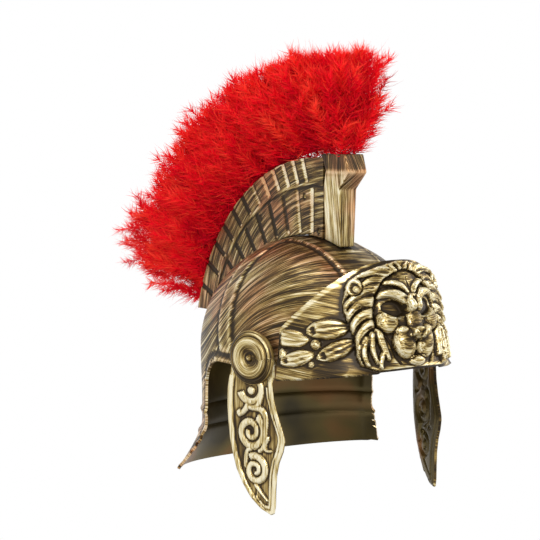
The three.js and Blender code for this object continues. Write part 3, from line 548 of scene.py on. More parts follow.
def lionRelief(x, y):
    ax = np.abs(x)
    reach = np.interp(y, maneEdge["height"], maneEdge["reach"])
    body = smoothStep(reach - ax, 0, 3.2) * smoothStep(y, -3.5, -0.5)
    mane = 3.4 * body
    locks = np.zeros_like(x)
    for way, wide, rise in maneLocks:
        locks = np.maximum(locks, rise * stroke(ax, y, way, wide, 0.45))
    for way, wide in fineHairs:
        locks -= 0.5 * stroke(ax, y, way, wide, 0.6)
    ear = 3.0 * bump(ax, y, 48, 68, 8, 8)
    ear = ear - 2.6 * bump(ax, y, 48, 67.5, 5.4, 5.6, 0, 0.8) + 2.2 * bump(ax, y, 46.5, 66, 3.2, 2.8)
    inEar = np.hypot(ax - 48, y - 68) < 8
    mane = mane + np.where(inEar, ear + 1.0, locks)

    face = 5.5 * bump(ax, y, 0, 44, 33, 42, 0, 0.55) + 1.5
    face += 2.0 * bump(ax, y, 0, 69, 17, 12)
    face += 4.6 * stroke(ax, y, [(4, 50), (13, 60.5), (29, 60)], 5.2, 0.6)
    face += 2.6 * stroke(ax, y, [(3.5, 60), (10, 69), (21, 71)], 3.8, 0.5)
    face -= 2.4 * stroke(ax, y, [(5, 59.5), (13, 67), (26, 67.5)], 1.7, 0.4)
    face -= 1.3 * stroke(ax, y, [(0, 64), (0, 70), (0, 75)], 1.2, 0.3)
    face -= 6.0 * bump(ax, y, 15.5, 48.5, 11.5, 7.4, 14, 0.7)
    face += 2.6 * bump(ax, y, 16.0, 48.0, 5.6, 3.8, 12)
    face += 1.3 * stroke(ax, y, [(8, 43.5), (17, 41.6), (26, 47)], 1.9, 0.6)
    face += 4.2 * bump(ax, y, 24, 37.5, 10.5, 9.5, 0, 0.6)
    face += 5.0 * stroke(ax, y, [(0, 54), (0, 42), (0, 29)], 6.8, 1.35, 0.7)
    face += 4.4 * bump(ax, y, 0, 26.5, 9.0, 6.0, 0, 0.55)
    face -= 2.4 * bump(ax, y, 5.2, 23.6, 2.4, 1.6, 20)
    muzzle = 7.0 * bump(ax, y, 10.2, 20.5, 9.6, 14.2, -10, 0.5)
    face = np.maximum(face - 2.0 * smoothStep(31 - y, 0, 4), 3.0) + muzzle
    face += 4.0 * bump(ax, y, 0, 5.5, 8.5, 4.6) - 2.6 * stroke(ax, y, [(0, 20), (0, 14), (0, 9)], 1.3, 0.6)
    faceEdge = np.interp(y, faceOutline["height"], faceOutline["reach"])
    inFace = smoothStep(faceEdge - ax, -0.6, 0.8) * (y < 82)
    crease = np.exp(-((faceEdge - ax) / 1.3) ** 2) * (y < 80) * (y > 3)
    relief = mane * (1 - inFace) + face * inFace - 1.6 * crease * body
    return relief * smoothStep(reach - ax, -0.4, 1.2) * smoothStep(y, -3.5, -0.8), body


laurelLeaves = [  # middle, half length, half height, tilt, rise, cupped end
    (-56.5, 23.6, 19.5, 8.2, 0, 3.2, False),
    (-40.2, 33.0, 19.5, 8.8, 7, 4.0, True),
    (-53.0, 7.6, 16.0, 6.8, 16, 3.6, True),
    (-36.6, 15.8, 18.0, 7.6, 25, 3.8, True),
]
laurelBerries = [(-59.4, 10.4, 4.6), (-45.2, 20.0, 4.6), (-47.0, 3.0, 2.6)]


def laurelRelief(x, y):
    ax = -np.abs(x)
    best = np.zeros_like(x)
    for angle, height, half, tall, tilt, rise, cupped in laurelLeaves:
        cx = np.interp(angle, angleSteps, arcSteps)
        c, s = math.cos(math.radians(tilt)), math.sin(math.radians(tilt))
        a = ((ax - cx) * c + (y - height) * s) / half
        b = (y - height) * c - (ax - cx) * s
        wide = tall * np.clip(1 - a * a, 0, 1) ** (0.55 if cupped else 0.8)
        across = np.clip(np.abs(b) / np.maximum(wide, 0.1), 0, 1)
        leaf = rise * np.clip(1 - across ** 2, 0, 1) ** 0.45 * np.clip(1 - a * a, 0, 1) ** 0.25
        leaf = leaf + 0.32 * np.cos(across * math.pi * 3.2) * (across < 0.95) * (leaf > 0.5)
        if cupped:
            cup = half * 0.66
            leaf -= 1.7 * bump(ax, y, cx - cup * c, height - cup * s, 3.2, tall * 0.55, tilt, 0.8)
        best = np.maximum(best, leaf)
    for angle, height, radius in laurelBerries:
        cx = np.interp(angle, angleSteps, arcSteps)
        best = np.maximum(best, radius * bump(ax, y, cx, height, radius, radius))
    return best


def makeBrow():
    look = browLook
    piece, u, v = sheetPiece("browPlate", look["across"], look["down"])
    spread = (u - 0.5) * 2
    angle = look["endAngle"] * (0.72 * spread + 0.28 * spread ** 3)
    bottom, top = browEdges(angle)
    height = bottom + (top - bottom) * v
    along = np.interp(angle, angleSteps, arcSteps)
    lion, body = lionRelief(along, height)
    leaves = laurelRelief(along, height)
    relief = np.where(body > 0.02, np.maximum(lion * look["lionRise"], 0), leaves)
    fade = (smoothStep(u, 0, 0.012) * smoothStep(1 - u, 0, 0.012) * smoothStep(v, 0.0, 0.02)
            * smoothStep(1 - v, 0, 0.02))
    relief = relief * fade
    # darker in the relief's hollows and lighter on its raised tops: a dark wash and painted shade in the hollows,
    # painted highlight on the tops; the lion a little darker all over
    low = cavity(relief, u, v, 7) * 0.42 + cavity(relief, u, v, 32) * 0.24 + 0.07 * body
    # darker on the flat plate at the foot of the relief: dark wash and painted shade
    footWashAndShade = 0.3 * np.exp(-(relief / 0.5) ** 2) * smoothStep(cavity(relief, u, v, 12), 0.05, 0.6)
    # a darker patch at the plate's lower edge on each side, under the laurel
    corner = 0.32 * bump(-np.abs(along), height, -72, -2, 16, 7, 14, 0.4)
    # lighter along the top border and along the lower lip
    lighterBorders = (-0.3 * np.exp(-((top - height - 2.6) / 3.0) ** 4)
                  - 0.12 * np.exp(-((height - bottom) / 3.0) ** 2))
    putPoints(piece, toFrame(browSurface(angle, height, relief)))
    mark(piece, "wash", np.clip(low + footWashAndShade + corner + lighterBorders, -0.34, 0.55))
    mark(piece, "flow", np.stack([along + 0.15 * height, height - 0.12 * np.abs(along), relief], 1))
    makeWalled(piece, look["wall"], plateGold, 60)
    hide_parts("brow_plate")
    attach(piece, "helmet")


makeBrow()
print("brow plate made")


# cheek guards and rosettes, made in the pivot's own plane and set on each side

pivot = {"forward": 41.0, "height": 4.7, "cheekSeat": 2.6, "rosetteSeat": 5.3}
pivotSide = dome["halfWidth"] * math.sqrt(1 - (pivot["forward"] / dome["halfLength"]) ** 2
                                          - (pivot["height"] / dome["height"]) ** 2)
pivotOut = np.array([-pivotSide / dome["halfWidth"] ** 2, -pivot["forward"] / dome["halfLength"] ** 2, 0])
pivotOut /= np.linalg.norm(pivotOut)
pivotAlong = np.cross([0, 0, 1], pivotOut)


def onPivot(p, q, out, side):
    centre = np.array([-pivotSide, -pivot["forward"], pivot["height"]])
    points = centre + np.outer(p, pivotAlong) + np.outer(q, [0, 0, 1]) + np.outer(out, pivotOut)
    if side == "left":
        points[:, 0] *= -1
    return toFrame(points)


cheekLook = {"across": 62, "down": 200, "thick": 2.4, "length": 137, "top": 20.5, "topRadius": 21, "rimRise": 2.4,
             "scrollRise": 2.6}
cheekBack = [(-21, 6), (-24.5, -10), (-28, -30), (-28.2, -45), (-27.3, -59), (-25.7, -74), (-22.9, -85.5),
             (-17.9, -101), (-11.1, -113), (-2.1, -124.5), (9.2, -133), (20.4, -137), (22, -137)]
cheekFront = [(21, 6), (22.3, -10), (23, -22), (24.6, -34), (28.5, -47), (33.4, -59), (36.6, -67), (36.9, -71),
              (34.8, -80), (30.6, -89.5), (27.8, -101.5), (26.9, -115), (26.6, -128.5), (25.2, -135.5),
              (22.4, -137)]


def cheekRelief(p, q, inside):
    look = cheekLook
    rim = look["rimRise"] * np.clip(1 - ((inside - 2.6) / 2.9) ** 2, 0, 1) ** 0.5
    line = 1.5 * np.clip(1 - ((inside - 6.6) / 1.6) ** 2, 0, 1) ** 0.5 * (p > 4) * (q < -25)
    band = np.maximum.reduce([
        spiral(p, q, -1.8, -66.0, 15.6, 62, 1.75, -1, 4.3),
        spiral(p, q, 3.2, -99.8, 13.0, 118, 1.6, -1, 3.9),
        spiral(p, q, -1.0, -27.0, 13.5, 200, 0.85, 1, 4.0, 0.6),
        0.9 * bump(p, q, -1.5, -29.5, 4.2, 3.8),
        stroke(p, q, [(9, -33), (4, -43), (-6, -43)], 3.4, 0.8),
        stroke(p, q, [(-5, -42), (-9, -48), (-14.5, -52)], 3.2, 0.7),
        0.9 * bump(p, q, -14.5, -50.5, 3.6, 3.4),
        stroke(p, q, [(1, -44), (13, -48), (14.5, -62)], 3.4, 0.9),
        stroke(p, q, [(14.5, -62), (13, -76), (8, -82)], 3.0, 0.7),
        stroke(p, q, [(17, -70), (14, -79), (20, -81)], 2.5, 0.5),
        stroke(p, q, [(-2, -81), (-6.5, -86), (-7.5, -97)], 2.8, 0.8),
        stroke(p, q, [(4, -113), (9, -118), (17, -125)], 2.2, 0.5),
    ])
    return np.maximum(np.maximum(rim, line), look["scrollRise"] * band)


def makeCheek(side):
    look = cheekLook
    piece, u, v = sheetPiece("cheekGuard" + side.capitalize(), look["across"], look["down"])
    q = -look["length"] + v * (look["length"] + look["top"])
    back, front = np.array(cheekBack[::-1]), np.array(cheekFront[::-1])
    topRadius = look["topRadius"]
    arc = np.sqrt(np.clip(topRadius ** 2 - np.clip(q, 0, topRadius) ** 2, 0.5, None))
    left = np.where(q > 4, -arc, np.interp(q, back[:, 1], back[:, 0]))
    right = np.where(q > 4, arc, np.interp(q, front[:, 1], front[:, 0]))
    p = left + (right - left) * u
    slope = 0.93
    inside = np.minimum.reduce([(p - left) * slope, (right - p) * slope, (q + look["length"]) * 0.9 + 1.5])
    field = smoothStep(-q, 14, 22)
    relief = cheekRelief(p, q, inside) * field
    # darker in the hollows and lighter on the raised scrolls and rim: a dark wash and painted shade in the
    # hollows, painted highlight on the raised parts; also lighter towards the front half
    low = cavity(relief, u, v, 6) * 0.8 - 0.1 * smoothStep(u, 0.5, 0.7)
    # darker over the flat sunken field inside the rim: dark wash and painted shade
    fieldWashAndShade = 0.16 * smoothStep(inside, 5, 7) * np.exp(-(relief / 0.6) ** 2)
    putPoints(piece, onPivot(p, q, pivot["cheekSeat"] + look["thick"] + relief * 0.8, side))
    mark(piece, "wash", np.clip(low + fieldWashAndShade - 0.06, -0.3, 0.5))
    mark(piece, "flow", np.stack([q, p, relief], 1))
    takeHold(piece)
    bpy.ops.object.mode_set(mode="EDIT")
    bpy.ops.mesh.select_all(action="SELECT")
    bpy.ops.mesh.normals_make_consistent(inside=False)
    bpy.ops.object.mode_set(mode="OBJECT")
    faceSide(piece, side)
    makeWalled(piece, look["thick"], cheekGold, 60)
    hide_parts("cheek_guard_" + side)
    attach(piece, "cheek_" + side)


rosetteLook = {"across": 72, "down": 56, "radius": 24, "beads": 24, "beadRise": 0.25}
rosetteProfile = [  # share of the radius and height in millimetres
    (0.0, 6.9), (0.05, 6.9), (0.10, 6.3), (0.125, 4.9), (0.15, 3.9), (0.22, 3.9), (0.30, 4.3), (0.40, 5.3),
    (0.50, 6.3), (0.60, 6.8), (0.68, 6.7), (0.74, 6.1), (0.78, 5.2), (0.80, 4.4), (0.825, 4.6), (0.86, 4.8),
    (0.90, 4.3), (0.93, 3.3), (0.95, 3.2), (0.98, 2.9), (1.0, 2.0), (1.0, 0.0)]


def makeRosette(side):
    look = rosetteLook
    piece, u, v = sheetPiece("rosette" + side.capitalize(), look["across"], look["down"])
    share = np.array([row[0] for row in rosetteProfile])
    rise = np.array([row[1] for row in rosetteProfile])
    run = np.concatenate([[0], np.cumsum(np.hypot(np.diff(share) * look["radius"], np.diff(rise)))])
    place = v * run[-1]
    radius, height = np.interp(place, run, share) * look["radius"], np.interp(place, run, rise)
    turn = u * 2 * math.pi
    inRing = smoothStep(radius, 19.5, 20.5) * smoothStep(-radius, -22.4, -21.6)
    beads = look["beadRise"] * np.sin(turn * look["beads"]) * inRing
    out = pivot["rosetteSeat"] + height + beads
    putPoints(piece, onPivot(radius * np.cos(turn), radius * np.sin(turn), out, side))
    # darker in the grooves near the middle, at the outer dip and at the outer step: a dark wash and painted shade;
    # lighter on the raised ring and the boss: painted highlight
    wash = 0.3 * np.exp(-((radius - 4.2) / 1.9) ** 2) + 0.3 * np.exp(-((radius - 19.2) / 0.8) ** 2)
    wash += 0.3 * np.exp(-((radius - 22.6) / 0.6) ** 2) - 0.22 * np.exp(-((radius - 14) / 4) ** 2)
    wash -= 0.3 * np.exp(-(radius / 2) ** 2)
    mark(piece, "wash", wash)
    mark(piece, "flow", np.stack([turn * 18, radius * 1.2, radius * 0], 1))
    piece.data.materials.append(plateGold)
    takeHold(piece)
    bpy.ops.object.mode_set(mode="EDIT")
    bpy.ops.mesh.select_all(action="SELECT")
    bpy.ops.mesh.remove_doubles(threshold=1e-6)
    bpy.ops.mesh.select_all(action="DESELECT")
    bpy.ops.mesh.select_non_manifold()
    bpy.ops.mesh.edge_face_add()                        # closes the back
    bpy.ops.mesh.select_all(action="SELECT")
    bpy.ops.mesh.normals_make_consistent(inside=False)
    bpy.ops.object.mode_set(mode="OBJECT")
    smooth(piece, 45)
    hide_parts("rosette_" + side)
    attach(piece, "helmet")


for side in ("right", "left"):
    makeCheek(side)
    makeRosette(side)
print("cheek guards and rosettes made")


# crest box

crest = {"y": -19.0, "z": -35.0, "radius": 212.5, "step": 187.0, "front": 99.0, "rear": 17.0, "half": 10.5,
         "stepIn": 1.2, "wall": 2.2, "endAngle": 15.0, "postAngle": 92.0, "barWidth": 2.8, "barDepth": 1.0,
         "domeGap": 1.5, "shelf": 20.2, "footGap": 0.3, "across": 310, "down": 52}
upperBars = [83 - 4 * k - 0.14 * k * k for k in range(12)]
lowerBars = [86.4 - 7.35 * k for k in range(9)]
lowerLit = (1.0, 0.75, 0.3, 0, 0, 0, 0, 0, 0)           # how strongly each bar is painted as lit, from the front
crestPins = [(4, 141), (-18, 110), (75, 118)]


def crestFoot(angle):
    # radius at which a ray from the crest's centre leaves the dome, or meets the rear shelf
    reach = np.linspace(60, crest["radius"], 800)[None, :]
    y = crest["y"] + reach * np.cos(angle)[:, None]
    z = crest["z"] + reach * np.sin(angle)[:, None]
    length, height = dome["halfLength"] + crest["domeGap"], dome["height"] + crest["domeGap"]
    free = ((y / length) ** 2 + (z / height) ** 2 > 1) & (z >= crest["shelf"])
    return np.where(free.any(1), reach[0][np.argmax(free, axis=1)], crest["radius"])


def makeCrestHalf(side):
    look = crest
    piece, u, v = sheetPiece("crestHalf" + side.capitalize(), look["across"], look["down"])
    angle = np.radians(look["endAngle"] + 0.05 + (look["postAngle"] - look["endAngle"]) * u)
    table = np.linspace(math.radians(look["endAngle"]), math.radians(look["postAngle"] + 1), 400)
    foot = np.interp(angle, table, crestFoot(table)) + look["footGap"]
    rise = np.clip((v - 0.1) / 0.9, 0, 1)
    radius = foot + (look["radius"] - foot) * rise
    upper = smoothStep(radius, look["step"] - 0.5, look["step"] + 0.6)
    skin = look["half"] - look["stepIn"] * (1 - upper)
    degrees = np.degrees(angle)
    y, z = look["y"] + radius * np.cos(angle), look["z"] + radius * np.sin(angle)
    # painted shadow in a band just under the step, where the upper band overhangs; painted highlights along the
    # top edge and along the upper band's lower edge
    relief, wash = np.zeros_like(u), 0.5 * np.exp(-((radius - look["step"] + 0.9) / 0.9) ** 2)
    wash -= 0.22 * np.exp(-((radius - look["radius"] + 0.6) / 1.0) ** 2)
    wash -= 0.18 * np.exp(-((radius - look["step"] - 1.2) / 0.9) ** 2)
    bands = ((upperBars, look["radius"] + 2, look["step"] + 1.6), (lowerBars, look["step"] - 1.8, 0))
    for bars, outer, inner in bands:
        for k, bar in enumerate(bars):
            start, aim = math.radians(bar), math.radians(0.77 * bar + 7 if inner else bar + 3.5)
            by, bz = look["y"] + outer * math.cos(start), look["z"] + outer * math.sin(start)
            away = (z - bz) * math.cos(aim) - (y - by) * math.sin(aim)     # positive towards the front
            inBand = smoothStep(radius, inner + 1, inner + 2) * smoothStep(-radius, -outer, -outer + 0.8)
            deep = inBand * smoothStep(radius - foot, 1.0, 2.5)
            # each bar is a groove: on lit bars a painted highlight over the groove and a painted shadow line in
            # front of it; on the rest painted shade in the groove and a painted highlight at its inner end, where
            # the end wall catches light
            lit = np.clip(1.25 - (k - 4.2) / 1.4, 0, 1) if inner else lowerLit[k]
            relief -= look["barDepth"] * np.clip(1 - (away / look["barWidth"]) ** 6, 0, 1) * deep
            wash -= 0.75 * lit * np.exp(-((away + 0.3) / 2.1) ** 4) * deep
            wash += 0.6 * lit * np.exp(-((away - 3.0) / 0.9) ** 2) * deep
            wash += 0.8 * (1 - lit) * np.exp(-(away / 2.6) ** 6) * deep
            tipRadius = inner + 3 if inner else foot + 3.5
            tip = np.exp(-(away / 2.0) ** 4 - ((radius - tipRadius) / 1.5) ** 2)
            wash -= 1.3 * (1 - lit) * tip * (radius < look["radius"] - 4)
    for py, pz in crestPins:
        away = np.hypot(y - py, z - pz)
        relief -= 1.1 * smoothStep(-away, -2.6, -2.1)
        # painted shade inside each pin hole
        wash = np.where(away < 3.2, 0.75 * smoothStep(-away, -3.2, -2.4), wash)
    x = np.where(v < 0.1, 0.2 + (skin - 0.2) * v / 0.1, skin + relief)
    points = np.stack([x if side == "left" else -x, y, z], 1)
    putPoints(piece, toFrame(points))
    mark(piece, "wash", np.clip(wash, -0.6, 0.7))
    mark(piece, "flow", np.stack([degrees * 3.2, radius - degrees * 0.5, x * 0], 1))
    faceSide(piece, side)
    makeWalled(piece, look["wall"], crestGold, 35)
    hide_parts("crest_half_" + side)
    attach(piece, "helmet")


postLook = {"height": [98.0, 120, 149, 150.5, 164, 165.6, 180.6, 181],
            "front": [-50, -50, -50, -51, -63.6, -64, -59.2, -58.6],
            "rear": [-25, -25, -25, -25, -29, -30, -22.5, -22.5],
            "half": [7.7, 8.6, 9.9, 10.0, 10.8, 10.9, 10.9, 10.6], "low": 97.6, "high": 181,
            "across": 80, "down": 84}


def makePost():
    look = postLook
    piece, u, v = sheetPiece("crestPost", look["across"], look["down"])
    lift = look["low"] + (look["high"] - look["low"]) * np.clip((v - 0.05) / 0.88, 0, 1)
    closing = np.clip(v / 0.05, 0, 1) * np.clip((1 - v) / 0.07, 0, 1)
    front, rear, half = (np.interp(lift, look["height"], look[key]) for key in ("front", "rear", "half"))
    turn = u * 2 * math.pi
    c, s = np.cos(turn), np.sin(turn)
    grow = 1 / np.maximum(np.maximum(np.abs(c), np.abs(s)), 1e-6)
    nearCorner = np.clip((np.minimum(np.abs(c), np.abs(s)) * grow - 0.82) / 0.18, 0, 1)
    grow = grow * (1 - 0.045 * nearCorner ** 2)
    x = half * c * grow * closing
    y = (front + rear) / 2 + (rear - front) / 2 * s * grow * closing
    onFront = s * grow < -0.98
    length, height = dome["halfLength"] + crest["domeGap"], dome["height"] + crest["domeGap"]
    seat = height * np.sqrt(np.clip(1 - (y / length) ** 2, 0, 1)) + crest["footGap"]
    z = np.maximum(lift, seat)
    putPoints(piece, toFrame(np.stack([x, y, z], 1)))
    # painted highlights along the front vertical edges and along the bevel at 164.6 mm, painted light on the side
    # faces and on the front below 163 mm, and a little darker above 168 mm
    edge = np.exp(-((np.abs(x) - half + 0.2) / 0.9) ** 2) * (s * grow < -0.8)
    onSide = (np.abs(c) * grow > 0.97) * smoothStep(-lift, -164, -160)
    wash = (-0.2 * edge - 0.42 * np.exp(-((lift - 164.6) / 2.0) ** 2) + 0.1 * (lift > 168) - 0.32 * onSide
            - 0.14 * onFront * (lift < 163))
    mark(piece, "wash", np.clip(wash, -0.5, 0.5))
    mark(piece, "flow", np.stack([z, x * 1.1 + y * 0.8, x * 0], 1))
    piece.data.materials.append(crestGold)
    outwards(piece)
    smooth(piece, 30)
    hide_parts("crest_half_right", "crest_half_left")
    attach(piece, "helmet")


makeCrestHalf("right")
makeCrestHalf("left")
makePost()
for node in ("crest_pin_front_upper", "crest_pin_front_lower", "crest_pin_middle", "pivot_stud_right",
             "pivot_stud_left"):
    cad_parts[node].data.materials.clear()
    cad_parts[node].data.materials.append(studGold)
print("crest finished")


# feather plume

plume = {"reach": 152.0, "halfWidth": 27.0, "blades": 39000, "pieces": 4, "feathers": 340, "spine": 40.0,
         "barb": 15.0, "width": 0.34}
plumeSections = {
    "at": [0.0, 0.02, 0.04, 0.08, 0.14, 0.23, 0.33, 0.43, 0.53, 0.63, 0.73, 0.83, 0.92, 0.96, 0.985, 1.0],
    "lean": [-3, -2, -1, 0, 0, 0, 1, 2, 2, 2, 1, 0, -1, -1, 0, 4],
    "reach": [0.5, 0.57, 0.6, 0.6, 0.59, 0.57, 0.57, 0.6, 0.61, 0.61, 0.67, 0.80, 0.98, 1.05, 1.05, 1.0],
    "spread": [0.6, 0.8, 0.9, 1, 1, 1, 1, 1, 1, 1, 1, 1, 0.9, 0.8, 0.65, 0.5],
    "lift": [2, 2, 2, 2, 1, 1, 1, 1, 1, 1, 1, 1, 1, 1, 1, 1],
}
plumeProfile = {"along": [0, 0.03, 0.2, 0.45, 0.7, 0.88, 1.0], "thick": [0.42, 0.5, 0.72, 0.92, 1.0, 0.78, 0.3]}


def plumeColumn(at):
    return {key: np.interp(at, plumeSections["at"], plumeSections[key]) for key in
            ("lean", "reach", "spread", "lift")}


def plumePlace(at, along, side):
    # along is a share of the feathers' reach, side of the plume's half thickness
    column = plumeColumn(at)
    arc = np.radians(crest["front"] + (crest["rear"] - crest["front"]) * at)
    aim = arc - np.radians(column["lean"])
    start = crest["radius"] + column["lift"]
    length = along * column["reach"] * plume["reach"]
    half = np.interp(along, plumeProfile["along"], plumeProfile["thick"]) * column["spread"] * plume["halfWidth"]
    y = crest["y"] + start * np.cos(arc) + length * np.cos(aim)
    z = crest["z"] + start * np.sin(arc) + length * np.sin(aim)
    return np.stack([side * half, y, z], -1)


def featherRed():
    finish = Finish("featherRed", (0.6, 0.01, 0.02), 0.62, 0.0)
    strand = finish.attribute("strand")
    tint = finish.attribute("tint")
    # tone from dark red to orange red: the per-barb tone and the place along each barb paint shade deep in the
    # plume and in its folds, and highlights on a few barbs
    deep = finish.node("ShaderNodeValToRGB", {"stops": [
        (0.0, (0.2, 0.0, 0.006)), (0.28, (0.6, 0.0, 0.012)), (0.55, (0.92, 0.002, 0.016)),
        (0.95, (1.0, 0.07, 0.03))]}, {0: (tint * 0.9 + strand * 0.2 - 0.06).clamped()})
    finish.to("Base Color", deep)
    finish.to("Roughness", 0.85 - tint * 0.15)
    finish.shader.inputs["Specular IOR Level"].default_value = 0.1
    return finish.material


def waves(a, b, c, seed):
    # a smooth wavering over three measures, within -1 and 1
    total = 0
    for k in range(4):
        w = np.array([math.sin(seed * 3.1 + k * 1.7), math.cos(seed * 1.9 + k * 2.3), math.sin(seed + k * 4.1)])
        total = total + np.sin(a * w[0] * (1.4 + k) + b * w[1] * (1.2 + k) + c * w[2] * (1.1 + k) + seed + k * 2.1)
    return total / 4


featherFinish = featherRed()


coreLook = {"across": 120, "down": 72, "first": 0.02, "span": 0.965, "middle": 0.46, "swell": 0.42,
            "thick": 0.72}


def makePlumeCore():
    # the soft mass behind the barbs
    look = coreLook
    piece, u, v = sheetPiece("plumeCore", look["across"], look["down"])
    turn = u * 2 * math.pi
    at = look["first"] + look["span"] * v
    ends = np.sqrt(np.clip(1 - np.abs(v * 2 - 1) ** 8, 0, 1))
    along = look["middle"] + look["swell"] * np.sin(turn) * (0.3 + 0.7 * ends)
    side = np.cos(turn) * look["thick"] * ends
    points = plumePlace(at, np.clip(along, 0.03, 0.95), side)
    ripple = waves(at * 60, along * 9, turn, 2.0)
    points[:, 0] *= 1 + 0.1 * ripple
    putPoints(piece, toFrame(points))
    # the core is darker than the barbs and darker still towards its roots: painted shade deep inside the plume
    mark(piece, "strand", np.clip(0.1 + 0.2 * along, 0, 1))
    mark(piece, "tint", np.clip(0.3 + 0.1 * ripple, 0, 1))
    outwards(piece)
    piece.data.materials.append(featherFinish)
    smooth(piece, 180)
    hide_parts("crest_plume")
    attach(piece, "helmet")


def makeBlades(index):
    # downy feathers: barbs of three faces that spring from bent quills, each with its own sway and tone, with
    # painted shade deep in the plume and in its folds and a painted highlight on a few barbs
    deselectAll()
    bpy.ops.mesh.primitive_plane_add(size=1)
    piece = bpy.context.object
    piece.name = piece.data.name = "plumeBarbs" + str(index + 1)
    count, many = plume["blades"], plume["feathers"]
    at = (np.arange(many) + dice.random(many)) / many
    dice.shuffle(at)
    depth = dice.random(many) ** 1.15 * 0.74 - 0.03
    side = np.sign(dice.random(many) - 0.5) * dice.random(many) ** 0.4 * 0.86
    root = plumePlace(at, depth, side)
    aim = unit(plumePlace(at, depth + 0.06, side * 1.01) - root)
    arc = np.radians(crest["front"] + (crest["rear"] - crest["front"]) * at)
    backwards = np.stack([np.zeros(many), np.sin(arc), -np.cos(arc)], 1)
    outside = np.stack([np.sign(side), np.zeros(many), np.zeros(many)], 1)
    sway = dice.normal(0, 0.26, many) * smoothStep(at, 0, 0.08)
    splay = 0.16 * np.abs(side) + dice.normal(0.04, 0.12, many)
    aim = unit(aim + backwards * sway[:, None] + outside * splay[:, None])
    column = plumeColumn(at)
    shag = 1.0 + 0.05 * waves(at * 55, side * 2.5, at * 11, 6.1) + dice.normal(0, 0.025, many)
    room = (shag - depth) * column["reach"] * plume["reach"]
    spine = np.clip(plume["spine"] * (0.6 + 0.8 * dice.random(many)), 9, room)
    curl = backwards * dice.normal(0, 0.3, many)[:, None] + outside * dice.normal(0.05, 0.2, many)[:, None]
    # each feather's darkness: a random part, and broad waves that paint shade in the plume's folds
    mood = dice.normal(0, 0.12, many) + 0.08 * waves(at * 40, depth * 9, side * 2, 3.3)

    own = dice.integers(0, many, count)
    share = dice.random(count) ** 0.75
    quill = aim[own] * share[:, None] + curl[own] * 0.5 * (share ** 2)[:, None]
    start = root[own] + quill * spine[own][:, None]
    tangent = unit(aim[own] + curl[own] * share[:, None])
    around = unit(np.cross(tangent, dice.normal(0, 1, (count, 3))))
    tilt = np.radians(62 - 22 * share + dice.normal(0, 9, count))
    direction = tangent * np.cos(tilt)[:, None] + around * np.sin(tilt)[:, None]
    length = plume["barb"] * (1.05 - 0.3 * share) * (0.55 + 0.8 * dice.random(count))
    stray = dice.random(count) < 0.02
    length = np.where(stray, length * 1.6, length)
    bend = unit(direction + tangent * 0.35 + dice.normal(0, 0.24, (count, 3)))
    middle = start + direction * (length * 0.5)[:, None]
    tip = middle + bend * (length * 0.55)[:, None]
    flat = unit(np.cross(direction, dice.normal(0, 1, (count, 3))))
    width = plume["width"] * (0.7 + 0.8 * dice.random(count)) * np.where(stray, 0.6, 1)
    half = flat * width[:, None]
    corners = [start - half, start + half, middle + half * 0.7, middle - half * 0.7, tip]
    points = np.stack(corners, 1).reshape(-1, 3)
    # barbs darker near each quill's root: painted shade deep in the plume
    tint = np.clip(0.45 + mood[own] + 0.2 * share + dice.normal(0, 0.1, count), 0, 1)
    # a few barbs set to the top of the ramp: painted highlights
    bright = dice.random(count) < 0.05
    tint = np.where(bright, 0.98, tint)
    first = np.arange(count) * 5
    quads = np.stack([first, first + 1, first + 2, first + 3], 1)
    ends = np.stack([first + 3, first + 2, first + 4], 1)
    mesh = piece.data
    mesh.clear_geometry()
    mesh.vertices.add(len(points))
    mesh.vertices.foreach_set("co", toFrame(points).ravel())
    loops = np.concatenate([quads.ravel(), ends.ravel()])
    mesh.loops.add(len(loops))
    mesh.loops.foreach_set("vertex_index", loops)
    mesh.polygons.add(2 * count)
    starts = np.concatenate([np.arange(count) * 4, 4 * count + np.arange(count) * 3])
    mesh.polygons.foreach_set("loop_start", starts)
    mesh.update(calc_edges=True)
    mesh.validate()
    # each barb lighter towards its tip: painted shade at its root
    mark(piece, "strand", np.tile([0.1, 0.1, 0.55, 0.55, 1.0], count))
    mark(piece, "tint", np.repeat(tint, 5))
    piece.data.materials.append(featherFinish)
    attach(piece, "helmet")


makePlumeCore()
for index in range(plume["pieces"]):
    makeBlades(index)
print("plume made")


# surroundings, lights and camera

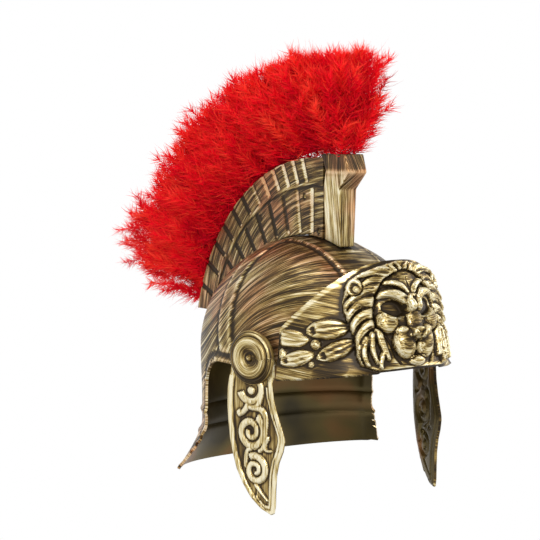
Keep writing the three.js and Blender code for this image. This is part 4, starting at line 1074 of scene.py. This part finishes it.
studio = {"azimuth": -36.5, "elevation": 8.23, "distance": 1501.1, "pixels": 1608.5, "frame": 540.0,
          "middle": (314.89, 347.57)}
world = bpy.data.worlds.new("studio")
bpy.context.scene.world = world
world.use_nodes = True
sky = world.node_tree
bearing = sky.nodes.new("ShaderNodeTexCoord")
parts = sky.nodes.new("ShaderNodeSeparateXYZ")
tones = sky.nodes.new("ShaderNodeValToRGB")             # white all round, darker overhead and underneath
for _ in range(2):
    tones.color_ramp.elements.new(0.5)
greys = [(0.0, 0.16), (0.30, 1.0), (0.72, 1.0), (1.0, 0.35)]
for element, (stop, grey) in zip(tones.color_ramp.elements, greys):
    element.position, element.color = stop, (grey, grey, grey, 1)
spread = sky.nodes.new("ShaderNodeMapRange")
spread.inputs["From Min"].default_value = -1.0
sky.links.new(bearing.outputs["Generated"], parts.inputs[0])
sky.links.new(parts.outputs["Z"], spread.inputs["Value"])
sky.links.new(spread.outputs[0], tones.inputs["Fac"])
sky.links.new(tones.outputs["Color"], sky.nodes["Background"].inputs["Color"])
sky.nodes["Background"].inputs["Strength"].default_value = 1.0


def softBox(name, place, aim, size, power):
    deselectAll()
    bpy.ops.object.light_add(type="AREA", location=place)
    lamp = bpy.context.object
    lamp.name = name
    lamp.data.shape = "RECTANGLE"
    lamp.data.size, lamp.data.size_y = size
    lamp.data.energy = power
    lamp.rotation_euler = (Vector(aim) - Vector(place)).to_track_quat("-Z", "Y").to_euler()


softBox("key", (-1.3, -1.5, 0.9), (0, 0, -0.05), (0.6, 0.8), 17)
softBox("rim", (1.4, -0.5, 0.6), (0, 0, 0), (0.3, 1.1), 8)
softBox("top", (-0.2, 0.2, 1.6), (0, 0, 0), (0.8, 0.8), 9)

azimuth, elevation = math.radians(studio["azimuth"]), math.radians(studio["elevation"])
back = Vector((math.sin(azimuth) * math.cos(elevation), -math.cos(azimuth) * math.cos(elevation),
               math.sin(elevation)))
right = Vector((math.cos(azimuth), math.sin(azimuth), 0))
up = back.cross(right)
centre = Vector((0, 0, -seatDrop * mm))
reach = studio["distance"] * mm
offset = [(value - studio["frame"] / 2) / studio["pixels"] * reach for value in studio["middle"]]
target = centre - right * offset[0] + up * offset[1]
place = centre + back * reach
deselectAll()
bpy.ops.object.camera_add(location=place)
camera = bpy.context.object
camera.rotation_euler = (target - place).to_track_quat("-Z", "Y").to_euler()
camera.data.sensor_width = 36
camera.data.lens = 36 * studio["pixels"] / studio["frame"]
bpy.context.scene.camera = camera
bpy.context.scene.view_settings.view_transform = "Standard"
print("stage set")
